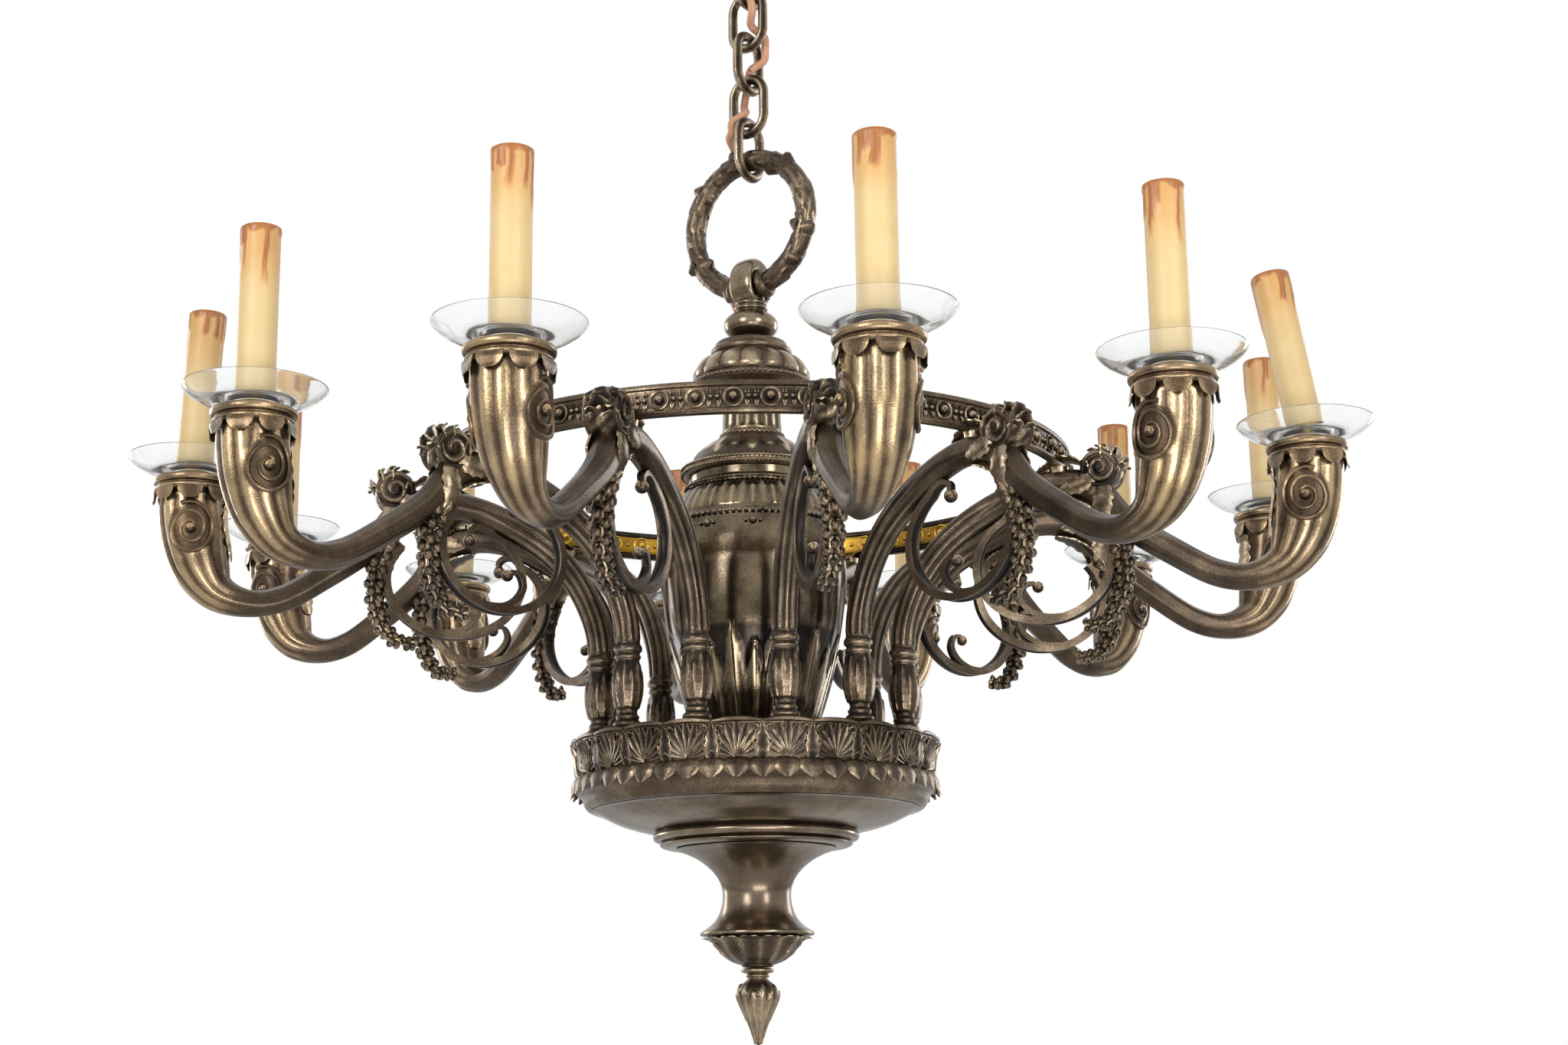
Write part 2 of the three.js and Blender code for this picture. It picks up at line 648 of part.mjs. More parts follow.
// Canopy, its screwed loop and nut, and the bracket and terminal block that it hides
function buildCanopy() {
  const loop = linkGeometry(LOOP_H, LINK_WIDTH, LINK_WIRE_R).rotateZ(Math.PI / 2).translate(0, 0, loopWireZ);
  const shankLow = loopWireZ - LINK_WIRE_R + LOOP_H - LINK_WIRE_R;
  const bossLow = ceilingZ - BRACKET_T - 14;
  const shankHigh = bossLow + 10;
  const shank = new THREE.CylinderGeometry(SHANK_R, SHANK_R, shankHigh - shankLow, 10).rotateX(Math.PI / 2);
  piece(ringPlace, "canopy_loop", joined(loop, shank.translate(0, 0, (shankLow + shankHigh) / 2)), BRONZE);
  const hole = SHANK_R + ROD_CLEARANCE;
  piece(chandelier, "canopy_nut", turned(closedProfile([
    [hole, canopyNutZ], [CANOPY_NUT_R - 2, canopyNutZ], [CANOPY_NUT_R, canopyNutZ + 3],
    [CANOPY_NUT_R, canopyNutZ + CANOPY_NUT_H], [hole, canopyNutZ + CANOPY_NUT_H],
  ]), SMALL_ROUND), BRONZE);
  const outside = smooth([
    [LEAD_OFFSET + 8, 0], [LEAD_OFFSET + 14, 4], [0.82 * CANOPY_R, 0.45 * CANOPY_H],
    [0.9 * CANOPY_R, 0.75 * CANOPY_H], [CANOPY_R, CANOPY_H - TOUCH],
  ], 5).map(([r, z]) => [r, canopyZ + z]);
  const cover = turned(shell(outside, SHELL, hole), MEDIUM_ROUND);
  const outlet = new THREE.CylinderGeometry(
    LEAD_R + LEAD_HOLE_CLEARANCE, LEAD_R + LEAD_HOLE_CLEARANCE, CANOPY_H / 2, 8,
  ).rotateX(Math.PI / 2);
  const [n, t] = LEAD_START;
  const at = acrossRing(n, t, canopyZ);
  piece(chandelier, "canopy", cut(cover, outlet.translate(at.x, at.y, at.z)), BRONZE);
  const plate = new THREE.BoxGeometry(BRACKET_SIZE[0], BRACKET_SIZE[1], BRACKET_T);
  plate.translate(0, 0, ceilingZ - BRACKET_T / 2);
  const boss = new THREE.CylinderGeometry(BOSS_R, BOSS_R, 16, 12).rotateX(Math.PI / 2);
  boss.translate(0, 0, bossLow + 8);
  const thread = new THREE.CylinderGeometry(hole, hole, 22, 12).rotateX(Math.PI / 2);
  thread.translate(0, 0, bossLow);
  piece(ringPlace, "ceiling_bracket", cut(joined(plate, boss), thread), BRASS);
  const block = new THREE.BoxGeometry(...BLOCK_SIZE);
  block.translate(at.x, at.y, ceilingZ - BRACKET_T - TOUCH - BLOCK_SIZE[2] / 2);
  piece(chandelier, "terminal_block", block, CERAMIC);
}

// The supply lead's route: [n forward through the ring, t across it, z]. It leaves the terminal
// block, is threaded through the links a quarter turn at a time, runs down behind one side of the
// ring, where the photo's camera can't see it, and enters the crown.
const LEAD_START = [0.8 * LEAD_OFFSET, 0.6 * LEAD_OFFSET];
const LEAD_END = [-14.5, -18.8];
const LEAD_WIND = [[45, 13.4, 0], [51, 12.7, 0.25], [90, 3.3, 0.5], [129, 12.7, 0.75]]; // degrees, radius, pitches

const LEAD_RING_GAP = 1.2; // from the ring's tube to the lead
const AWAY_FROM_CAMERA = [-0.767, -0.537, 0.349]; // in [n, t, z]

function windPoint(link, [turn, r, down]) {
  const a = rad(turn + 90 * link);
  return [r * Math.cos(a), r * Math.sin(a), loopWireZ - (link + down) * linkPitch];
}

function behindRing(turn) {
  const a = rad(turn);
  const along = new THREE.Vector3(0, -Math.sin(a), Math.cos(a));
  const away = new THREE.Vector3(...AWAY_FROM_CAMERA).projectOnPlane(along);
  away.setLength(RING_TUBE_R + LEAD_R + LEAD_RING_GAP);
  return [away.x, away.y + RING_MID_R * Math.cos(a), away.z + ringZ + RING_MID_R * Math.sin(a)];
}

function leadRoute() {
  const top = ceilingZ - BRACKET_T - 2 * TOUCH - BLOCK_SIZE[2];
  const wound = [];
  for (let link = 0; link < LINK_COUNT - 1; link += 1) {
    wound.push(...LEAD_WIND.map((step) => windPoint(link, step)));
  }
  wound.push(windPoint(LINK_COUNT - 1, LEAD_WIND[0]));
  return [
    [...LEAD_START, top],
    [...LEAD_START, top - 12],
    [...LEAD_START, canopyZ - 2],
    [17, 13.5, canopyNutZ - 6],
    [10, 10, loopWireZ + 14],
    ...wound,
    [8.2, -11.6, ringZ + 68.6],
    [3, -14.2, ringZ + 64.6],
    [-5, -16, ringZ + 60.6],
    ...[115, 130, 147, 165, 183, 201, 219, 234].map(behindRing),
    [-13.5, -25, stemZ + 40],
    [-14.8, -20, stemZ + 26],
    [...LEAD_END, stemZ + 12],
    [...LEAD_END, stemZ - 6],
  ];
}

function buildLead() {
  const points = leadRoute().map(([n, t, z]) => acrossRing(n, t, z));
  const path = new THREE.CatmullRomCurve3(points, false, "centripetal");
  const round = new THREE.Shape();
  round.absarc(0, 0, LEAD_R, 0, 2 * Math.PI, false);
  const lead = new THREE.ExtrudeGeometry(round, {
    extrudePath: path, steps: 60, curveSegments: 4, bevelEnabled: false,
  });
  piece(chandelier, "supply_lead", lead, CABLE);
}

buildArms();
buildHoop();
buildGallery();
buildPan();
buildDrop();
buildUrn();
buildCrown();
buildStem();
buildRod();
buildRing();
buildChain();
buildCanopy();
buildLead();

export default whole;
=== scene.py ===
import math

import bpy
import numpy as np
from mathutils import Matrix, Vector


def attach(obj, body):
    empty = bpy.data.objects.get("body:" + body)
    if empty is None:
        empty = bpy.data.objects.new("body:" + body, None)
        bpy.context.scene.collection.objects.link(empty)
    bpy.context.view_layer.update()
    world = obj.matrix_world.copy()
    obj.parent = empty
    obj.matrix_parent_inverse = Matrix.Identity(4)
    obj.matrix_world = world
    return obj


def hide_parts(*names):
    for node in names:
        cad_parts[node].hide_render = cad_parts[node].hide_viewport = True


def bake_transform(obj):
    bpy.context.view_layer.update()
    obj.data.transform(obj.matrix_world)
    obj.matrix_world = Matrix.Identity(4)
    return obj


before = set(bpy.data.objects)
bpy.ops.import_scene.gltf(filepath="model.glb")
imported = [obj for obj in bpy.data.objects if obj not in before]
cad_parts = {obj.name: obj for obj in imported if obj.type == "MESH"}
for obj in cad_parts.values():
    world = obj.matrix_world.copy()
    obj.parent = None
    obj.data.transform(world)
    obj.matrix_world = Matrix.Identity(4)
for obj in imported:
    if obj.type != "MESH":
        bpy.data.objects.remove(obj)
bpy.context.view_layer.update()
scene = bpy.context.scene
scene.view_settings.view_transform = "Standard"

# Camera: it stands 1.65 m in front of the chandelier's axis and 0.4 m below the candle cups, and
# looks up at them. Its lens, pitch and roll were solved from the places of the twelve cups.
RIMS = -0.478396  # metres: the plane of the cups' rims. Levels below are mm above this plane.
pitch, roll = math.radians(13.11), math.radians(-0.6)
ahead = Vector((0, math.cos(pitch), math.sin(pitch)))
over = Vector((0, -math.sin(pitch), math.cos(pitch)))
right = Vector((1, 0, 0))
lens = bpy.data.cameras.new("camera")
lens.sensor_width = 36
lens.lens = 53.16
lens.shift_x = 40.5 / 2048  # the axis stands 40.5 of the photo's 2048 pixels left of its middle
camera = bpy.data.objects.new("camera", lens)
scene.collection.objects.link(camera)
axes = (
    right * math.cos(roll) + over * math.sin(roll),
    over * math.cos(roll) - right * math.sin(roll),
    -ahead,
)
stand = Matrix.Translation((0, -1.6528, RIMS - 0.403))
camera.matrix_world = stand @ Matrix(axes).transposed().to_4x4()
scene.camera = camera


# Studio: a white room over a pale floor, with soft lamps at both sides, in front and behind, and a
# low one in front. Lens, glass and metal all see the same white.
class Wire:
    """An output socket. Sums and products of it add Math nodes to its tree."""

    def __init__(self, tree, socket):
        self.tree, self.socket = tree, socket

    def math(self, operation, *values):
        numbers = dict(enumerate(values))
        return self.tree.add("ShaderNodeMath", {"operation": operation}, numbers)

    def within(self, low, high):
        return self.math("MINIMUM", self.math("MAXIMUM", self, low), high)


for name, operation in (("add", "ADD"), ("sub", "SUBTRACT"), ("mul", "MULTIPLY")):
    setattr(Wire, f"__{name}__", lambda left, right, kind=operation: left.math(kind, left, right))
    setattr(Wire, f"__r{name}__", lambda right, left, kind=operation: right.math(kind, left, right))


class Tree:
    """The node tree of a material, of the world or of a modifier."""

    def __init__(self, nodes):
        self.nodes = nodes

    def join(self, value, socket):
        if isinstance(value, Wire):
            self.nodes.links.new(value.socket, socket)
        else:
            socket.default_value = value

    def add(self, kind, settings=None, values=None, output=0):
        node = self.nodes.nodes.new(kind)
        for key, value in (settings or {}).items():
            setattr(node, key, value)
        for key, value in (values or {}).items():
            self.join(value, node.inputs[key])
        return Wire(self, node.outputs[output])

    def noise(self, place, scale, detail, roughness=0.5):
        values = {"Vector": place, "Scale": scale, "Detail": detail, "Roughness": roughness}
        return self.add("ShaderNodeTexNoise", values=values)

    def colours(self, amount, *stops):
        """A colour that goes through these stops, each a place and a colour."""
        ramp = self.add("ShaderNodeValToRGB", values={"Fac": amount})
        elements = ramp.socket.node.color_ramp.elements
        for _ in stops[2:]:
            elements.new(1)
        for element, (place, shade) in zip(elements, stops):
            element.position, element.color = place, (*shade, 1)
        return ramp

    def tinted(self, amount, shade, filter_colour):
        """A colour seen through a filter, as strongly as the amount says."""
        settings = {"data_type": "RGBA", "blend_type": "MULTIPLY"}
        return self.add("ShaderNodeMix", settings, {0: amount, 6: shade, 7: (*filter_colour, 1)}, 2)


world = bpy.data.worlds.new("studio")
scene.world = world
world.use_nodes = True
room = Tree(world.node_tree)
rays = world.node_tree.nodes.new("ShaderNodeLightPath").outputs
lens_ray, glass_ray, metal_ray = (
    Wire(room, rays[kind]) for kind in ("Is Camera Ray", "Is Transmission Ray", "Is Glossy Ray")
)
seen = lens_ray.math("MAXIMUM", lens_ray, lens_ray.math("MAXIMUM", glass_ray, metal_ray))
ROOM_LIGHT = 0.5  # of the white room, as it falls on the piece
background = world.node_tree.nodes["Background"]
room.join(ROOM_LIGHT + (1 - ROOM_LIGHT) * seen, background.inputs["Strength"])
background.inputs["Color"].default_value = (1, 1, 1, 1)


def softbox(name, place, wide, high, watts):
    lamp = bpy.data.lights.new(name, "AREA")
    lamp.shape = "RECTANGLE"
    lamp.size, lamp.size_y, lamp.energy = wide, high, watts
    box = bpy.data.objects.new(name, lamp)
    scene.collection.objects.link(box)
    box.location = place
    aim = Vector((0, 0, -0.55)) - box.location
    box.rotation_euler = aim.to_track_quat("-Z", "Y").to_euler()


softbox("key", (-1.5, -2.3, 0.1), 0.8, 1.2, 30)
softbox("fill", (1.4, -2.2, -0.1), 0.5, 1.1, 18)
softbox("back_left", (-2.0, 1.6, -0.2), 0.7, 1.4, 16)
softbox("back_right", (2.0, 1.7, -0.2), 0.7, 1.4, 16)
softbox("low", (0.3, -1.6, -1.15), 1.2, 0.4, 11)


def material(name):
    """A new material, its node tree, its shader's inputs, and the place on the piece."""
    made = bpy.data.materials.new(name)
    made.use_nodes = True
    tree = Tree(made.node_tree)
    place = tree.add("ShaderNodeTexCoord", output="Object")
    return made, tree, made.node_tree.nodes["Principled BSDF"].inputs, place


def surface(tree, shader, shade, roughness, bump, depth, height):
    """Gives a shader its colour and roughness, and a bump of this strength and depth."""
    tree.join(shade, shader["Base Color"])
    tree.join(roughness, shader["Roughness"])
    values = {"Strength": bump, "Distance": depth, "Height": height}
    tree.join(tree.add("ShaderNodeBump", values=values), shader["Normal"])


FLOOR_LEVEL, FLOOR_HALF = -1.3, 9
corners = [
    (x * FLOOR_HALF, y * FLOOR_HALF, FLOOR_LEVEL) for x, y in ((-1, -1), (1, -1), (1, 1), (-1, 1))
]
floor_mesh = bpy.data.meshes.new("floor")
floor_mesh.from_pydata(corners, [], [(0, 1, 2, 3)])
floor = bpy.data.objects.new("floor", floor_mesh)
scene.collection.objects.link(floor)
pale, tree, shader, _ = material("pale_floor")
tree.join((0.82, 0.82, 0.82, 1), shader["Base Color"])
tree.join(0.9, shader["Roughness"])
floor_mesh.materials.append(pale)


# Canopy: a cast and turned bronze bell that covers the fixing in the ceiling, with a row of leaves
# round its side and beads round its rim. A nut on the loop's shank holds it up.
def curve_through(points, parts):
    """A smooth centripetal curve through points, with this many parts between two of them."""
    points = np.asarray(points, float)
    ends = np.vstack([2 * points[0] - points[1], points, 2 * points[-1] - points[-2]])
    gaps = np.sqrt(np.linalg.norm(np.diff(ends, axis=0), axis=1)).clip(1e-3)[:, None]
    count = len(points) - 1
    before, between, after = (gaps[i:i + count] for i in range(3))
    p0, p1, p2, p3 = (ends[i:i + count] for i in range(4))
    leave = (p1 - p0) / before - (p2 - p0) / (before + between) + (p2 - p1) / between
    arrive = (p2 - p1) / between - (p3 - p1) / (between + after) + (p3 - p2) / after
    leave, arrive = leave * between, arrive * between
    steps = [
        p1 * (2 * u**3 - 3 * u**2 + 1) + leave * (u**3 - 2 * u**2 + u)
        + p2 * (3 * u**2 - 2 * u**3) + arrive * (u**3 - u**2)
        for u in np.arange(parts) / parts
    ]
    return np.vstack([np.stack(steps, 1).reshape(-1, points.shape[1]), points[-1:]])


def unit(vectors):
    return vectors / np.linalg.norm(vectors, axis=-1, keepdims=True).clip(1e-9)


def ramp(value, low, high):
    """Goes smoothly from 0 at low to 1 at high."""
    part = np.clip((value - low) / (high - low), 0, 1)
    return part * part * (3 - 2 * part)


def skin(rings, relief=None, round_again=False):
    """A closed skin over rings of points: its points, faces and relief. Each end gets a middle
    point, unless the last ring joins the first. A face with three corners ends in -1."""
    rows, columns = rings.shape[:2]
    number = np.arange(rows * columns).reshape(rows, columns)
    low, high = (number, np.roll(number, -1, 0)) if round_again else (number[:-1], number[1:])
    faces = np.stack([low, np.roll(low, -1, 1), np.roll(high, -1, 1), high], -1).reshape(-1, 4)
    points = rings.reshape(-1, 3)
    if not round_again:
        first, last = number[0], number[-1]
        for edge, beyond, end in ((np.roll(first, -1), first, 0), (last, np.roll(last, -1), -1)):
            middle = np.full(columns, len(points))
            points = np.vstack([points, rings[end].mean(0)])
            cap = np.stack([edge, beyond, middle, np.full(columns, -1)], -1)
            faces = np.vstack([faces, cap])
    a, b, c, d = (points[np.where(faces[:, i] < 0, faces[:, 0], faces[:, i])] for i in range(4))
    inside_out = (a * np.cross(b, c)).sum() + (a * np.cross(c, d)).sum() < 0
    if relief is None:
        # What stands above its neighbours gets a high relief and is worn bright, which also paints
        # a highlight on it; what lies below them is dark, as patina and as painted shade in the
        # hollows.
        if round_again:
            up, down = np.roll(rings, -1, 0), np.roll(rings, 1, 0)
        else:
            up, down = np.vstack([rings[1:], rings[-1:]]), np.vstack([rings[:1], rings[:-1]])
        left, away = np.roll(rings, -1, 1), np.roll(rings, 1, 1)
        out = unit(np.cross(left - away, up - down)) * (-1 if inside_out else 1)
        relief = 0.5 + 1.2 * ((rings - (up + down + left + away) / 4) * out).sum(-1)
    relief = np.clip(np.broadcast_to(relief, (rows, columns)), 0, 1)
    if inside_out:
        three = faces[:, 3:] < 0
        faces = np.where(three, faces[:, [0, 2, 1, 3]], faces[:, [0, 3, 2, 1]])
    depth = relief.reshape(-1)
    if not round_again:
        depth = np.concatenate([depth, relief[[0, -1]].mean(1)])
    return points, faces, depth


def turned(profile, columns, carve=None, round_again=False):
    """A piece turned from a profile of [radius, level] that runs up its outside. The carving is a
    function of the turn, the radius and the level, and gives a push outwards and a relief."""
    profile = np.asarray(profile, float)
    turn = np.arange(columns) / columns * 2 * math.pi
    if round_again:
        along = unit(np.roll(profile, -1, 0) - np.roll(profile, 1, 0))
    else:
        along = unit(np.gradient(profile, axis=0))
    push, relief = (0, None) if carve is None else carve(turn, profile[:, :1], profile[:, 1:])
    push = push + np.zeros((len(profile), columns))
    radius = profile[:, :1] + along[:, 1:] * push
    level = profile[:, 1:] - along[:, :1] * push
    rings = np.stack([radius * np.cos(turn), radius * np.sin(turn), level], -1)
    return skin(rings, relief, round_again)


def hollow(outside, wall, bore):
    """The closed profile of a turned shell with an open top: its outside upwards, its inside
    down again, and its foot, closed round the bore."""
    outside = np.asarray(outside, float)
    foot = outside[0, 1]
    inside = (outside - [wall, 0])[:0:-1]
    floor = [[outside[0, 0] - wall, foot + wall], [bore, foot + wall], [bore, foot]]
    return np.vstack([outside, inside, floor])


def moved(part, way):
    return part[0] + np.asarray(way, float), *part[1:]


def toned(part, lowest, span):
    """A part with its relief, and so its wear, painted shade and painted highlight, brought between
    two values.
    """
    return *part[:2], lowest + span * part[2]


def ball(radius, at, columns=10, rows=6):
    """A bead or berry with its middle at a place."""
    polar = np.linspace(0.12, math.pi - 0.12, rows)
    profile = radius * np.stack([np.sin(polar), -np.cos(polar)], -1)
    # The relief rises towards the bead's top, so each bead is painted lighter on top and darker
    # underneath: painted light from above.
    bead = turned(profile, columns, lambda turn, reach, level: (0, 0.55 + 0.4 * level / radius))
    return moved(bead, at)


def together(*parts):
    """Several skins as one."""
    start = np.cumsum([0] + [len(points) for points, _, _ in parts])
    faces = [np.where(part[1] < 0, -1, part[1] + first) for part, first in zip(parts, start)]
    return (
        np.concatenate([part[0] for part in parts]),
        np.concatenate(faces),
        np.concatenate([part[2] for part in parts]),
    )


def blade(path, half_widths, thick, side, lobes=0, curl=0.0, columns=10, vein=0.5):
    """A cast leaf: a flat tapering bar along a path, with lobed edges and a groove down it."""
    path = np.asarray(path, float)
    rows = len(path)
    s = np.linspace(0, 1, rows)
    wide = np.interp(s, np.linspace(0, 1, len(half_widths)), half_widths)
    if lobes:
        wavy = np.abs(np.sin(math.pi * lobes * s)) * np.sin(math.pi * s) ** 0.3
        wide = wide * (1 + 0.32 * wavy - 0.1)
    turn = (np.arange(columns) + 0.5) / columns * 2 * math.pi
    across, high = np.cos(turn), np.sin(turn)
    along = unit(np.gradient(path, axis=0))
    side = np.asarray(side, float)
    side = unit(side - along * (along * side).sum(-1, keepdims=True))
    up = np.cross(along, side)
    taper = np.sqrt(np.clip(1.02 - s, 0, 1)) * np.sqrt(np.clip(s * 6 + 0.15, 0, 1))
    rise = thick * taper[:, None] * high * (0.5 + 0.5 * np.abs(across))
    rise = rise + curl * wide[:, None] * across**2
    if vein:
        ripple = np.abs(np.sin(math.pi * lobes * s))[:, None] if lobes else 0.5
        rise = rise + vein * (high > 0) * (np.abs(across) * ripple - 0.4)
    rings = (
        path[:, None] + up[:, None] * rise[..., None]
        + side[:, None] * (wide[:, None] * across)[..., None]
    )
    # The edges get a high relief and are worn bright; the under face gets a low relief, painted
    # shade under the leaf.
    relief = 0.25 + 0.55 * np.abs(across) + 0.2 * high + 0 * wide[:, None]
    return skin(rings, relief)


def leaf_row(turn, rise, count, lobes=5):
    """The height, from 0 to 1, of a row of pointed leaves that stand side by side, from 0 at
    their feet to 1 at their tips, with second leaves seen between them."""
    height = 0
    for shift, tall in ((0.5, 0.82), (0.0, 1.0)):
        place = (turn * count / (2 * math.pi) + shift) % 1 - 0.5
        across = np.abs(place) * 2
        up = rise / tall
        notches = 0.5 + 0.5 * np.cos(2 * math.pi * lobes * up)
        half = np.clip(1 - up, 0, 1) ** 0.55 * (1 - 0.16 * notches)
        leaf = ramp(half - across, -0.02, 0.14) * (up > 0)
        veins = 0.5 + 0.5 * np.cos(2 * math.pi * lobes * (up - 0.55 * across))
        midrib = np.exp(-((across / 0.13) ** 2))
        relief = 0.5 + 0.22 * veins * across + 0.38 * midrib - 0.15 * across
        height = np.maximum(height * (1 - 0.55 * leaf), leaf * relief)
    return height


def node_group(label, inputs):
    """A Geometry Nodes group: its tree, its inputs' names in a modifier, and their wires."""
    group = bpy.data.node_groups.new(label, "GeometryNodeTree")
    sockets = {}
    for name, kind in (*inputs, ("Finish", "Material")):
        socket = group.interface.new_socket(name, in_out="INPUT", socket_type=f"NodeSocket{kind}")
        sockets[name] = socket.identifier
    group.interface.new_socket("Made", in_out="OUTPUT", socket_type="NodeSocketGeometry")
    tree = Tree(group)
    given = group.nodes.new("NodeGroupInput").outputs
    return tree, sockets, [Wire(tree, given[i]) for i in range(len(sockets))]


def give_back(tree, geometry, finish):
    """Ends a group: its instances are made real and get their finish."""
    real = tree.add("GeometryNodeRealizeInstances", values={"Geometry": geometry})
    finished = tree.add("GeometryNodeSetMaterial", values={"Geometry": real, "Material": finish})
    tree.join(finished, tree.nodes.nodes.new("NodeGroupOutput").inputs[0])


# This tree repeats a bead, leaf or frame, modelled at its place in front, round the axis.
row, row_sockets, (pattern, count, first_turn, unevenness, finish) = node_group(
    "Repeated round the axis",
    (("Pattern", "Geometry"), ("Count", "Int"), ("First turn", "Float"), ("Unevenness", "Float")),
)
posts = row.add("GeometryNodeMeshLine", values={"Count": count, "Offset": (0, 0, 0)})
index = row.add("GeometryNodeInputIndex")
SEED = 7
jitter = row.add(
    "FunctionNodeRandomValue", {"data_type": "FLOAT"},
    {"Min": unevenness * -1, "Max": unevenness, "Seed": SEED}, output="Value",
)
step = index.math("DIVIDE", index * (2 * math.pi), count)
spin = row.add("ShaderNodeCombineXYZ", values={"Z": first_turn + step + jitter})
placed = row.add(
    "GeometryNodeInstanceOnPoints",
    values={"Points": posts, "Instance": pattern, "Rotation": spin},
)
give_back(row, placed, finish)


def shaped(name, part, finish):
    """A Blender object of a skin in millimetres and levels."""
    points, faces, relief = part
    three = faces[:, 3] < 0
    mesh = bpy.data.meshes.new(name)
    mesh.vertices.add(len(points))
    mesh.vertices.foreach_set("co", (points / 1000 + [0, 0, RIMS]).astype("f").ravel())
    corners = faces.ravel()[faces.ravel() >= 0]
    mesh.loops.add(len(corners))
    mesh.loops.foreach_set("vertex_index", corners.astype("i"))
    size = np.where(three, 3, 4)
    mesh.polygons.add(len(faces))
    mesh.polygons.foreach_set("loop_start", (np.cumsum(size) - size).astype("i"))
    mesh.update(calc_edges=True)
    height = mesh.attributes.new("relief", "FLOAT", "POINT")
    height.data.foreach_set("value", relief.astype("f"))
    mesh.shade_smooth()
    mesh.set_sharp_from_angle(angle=math.radians(48))
    mesh.materials.append(finish)
    made = bpy.data.objects.new(name, mesh)
    scene.collection.objects.link(made)
    return made


def read_back(made):
    """The skin of an object whose modifiers are applied. The object is removed."""
    evaluated = made.evaluated_get(bpy.context.evaluated_depsgraph_get())
    mesh = bpy.data.meshes.new_from_object(evaluated)
    made.modifiers.clear()
    points = np.empty(len(mesh.vertices) * 3, "f")
    mesh.vertices.foreach_get("co", points)
    corners = np.empty(len(mesh.loops), "i")
    mesh.loops.foreach_get("vertex_index", corners)
    size = np.empty(len(mesh.polygons), "i")
    mesh.polygons.foreach_get("loop_total", size)
    start = np.cumsum(size) - size
    faces = np.stack([corners[np.minimum(start + i, len(corners) - 1)] for i in range(4)], -1)
    faces[size == 3, 3] = -1
    relief = np.empty(len(mesh.vertices), "f")
    mesh.attributes["relief"].data.foreach_get("value", relief)
    bpy.data.objects.remove(made)
    points = (points.reshape(-1, 3).astype(float) - [0, 0, RIMS]) * 1000
    return points, faces.astype(int), relief.astype(float)


def worked(name, part, finish, tree, sockets, **sizes):
    """A skin that a Geometry Nodes tree has worked on."""
    made = shaped(name, part, finish)
    modifier = made.modifiers.new(name, "NODES")
    modifier.node_group = tree.nodes
    for socket, value in sizes.items():
        modifier[sockets[socket.replace("_", " ")]] = value
    modifier[sockets["Finish"]] = finish
    return read_back(made)


def ring_of(part, count, first=0.0, uneven=0.0):
    """Copies of a part round the axis, the first of them turned by so many degrees."""
    return worked(
        "row", part, bronze, row, row_sockets,
        Count=count, First_turn=math.radians(first), Unevenness=math.radians(uneven),
    )


def fitted(name, part, finish, body="chandelier", node=None):
    """A finished piece that rides on a body and stands for a CAD node, most often of its name."""
    made = shaped(name, part, finish)
    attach(made, body)
    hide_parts(node or name)


def colour(red, green, blue):
    """A colour given as the 0 to 255 values that a screen shows."""
    return tuple(
        value / 12.92 if value <= 0.04045 else ((value + 0.055) / 1.055) ** 2.4
        for value in (red / 255, green / 255, blue / 255)
    )


def patina(name, hollows, flats, worn, dull, bright, grain=1.0, metal=0.9, warm_from=None):
    """Cast metal, dark in its hollows and rubbed bright on what stands out: patina and wear, and
    also painted shade in the hollows and painted highlight on what stands out. It is warmer in
    patches where it is further from the axis than warm_from, in metres."""
    finish, tree, shader, place = material(name)
    relief = tree.add("ShaderNodeAttribute", {"attribute_name": "relief"}, output="Fac")
    clouds = tree.noise(place, 34, 5, 0.62)
    pits = tree.noise(place, 900, 3, 0.6)
    # Colour follows the relief: dark hollows are patina and painted shade, bright raised parts are
    # wear and painted highlight.
    wear_and_painted_light = relief + (clouds - 0.5) * 0.62 + (pits - 0.5) * 0.28
    shade = tree.colours(wear_and_painted_light, (0.2, hollows), (0.5, flats), (0.9, worn))
    olive_patches = (tree.noise(place, 13, 3) - 0.42) * 2.4
    shade = tree.tinted(olive_patches, shade, (0.9, 0.92, 0.82))
    if warm_from:
        product, length = ({"operation": kind} for kind in ("MULTIPLY", "LENGTH"))
        level = tree.add("ShaderNodeVectorMath", product, {0: place, 1: (1, 1, 0)})
        reach = tree.add("ShaderNodeVectorMath", length, {0: level}, output="Value")
        outside = ((reach - warm_from) * 32).within(0.0, 1.0)
        shade = tree.tinted(outside * (clouds * 1.5 - 0.35), shade, (1.12, 0.94, 0.66))
    roughness = dull - (dull - bright) * wear_and_painted_light.within(0.0, 1.0) + (pits - 0.5) * 0.12
    tree.join(metal - 0.25 + 0.35 * relief, shader["Metallic"])
    surface(tree, shader, shade, roughness, 0.35 * grain, 0.0005, pits + clouds)
    return finish


BRONZE_SHADES = colour(30, 24, 20), colour(92, 77, 63), colour(204, 184, 154)
bronze = patina("chased_bronze", *BRONZE_SHADES, 0.36, 0.16)
cup_bronze = patina("cup_bronze", *BRONZE_SHADES, 0.36, 0.16, warm_from=0.352)
polished_bronze = patina(
    "polished_bronze", colour(50, 42, 36), colour(110, 96, 81), colour(186, 170, 146), 0.3, 0.15,
    grain=0.25, metal=1.0,
)

CANOPY = 438.4
bell = curve_through([
    [31, 0.3], [38, 4], [41.5, 7], [43, 8], [44.5, 12],
    [49.2, 18], [53, 26], [54, 31], [57, 33], [59.6, 36], [60, 39.7],
], 5) + [0, CANOPY]


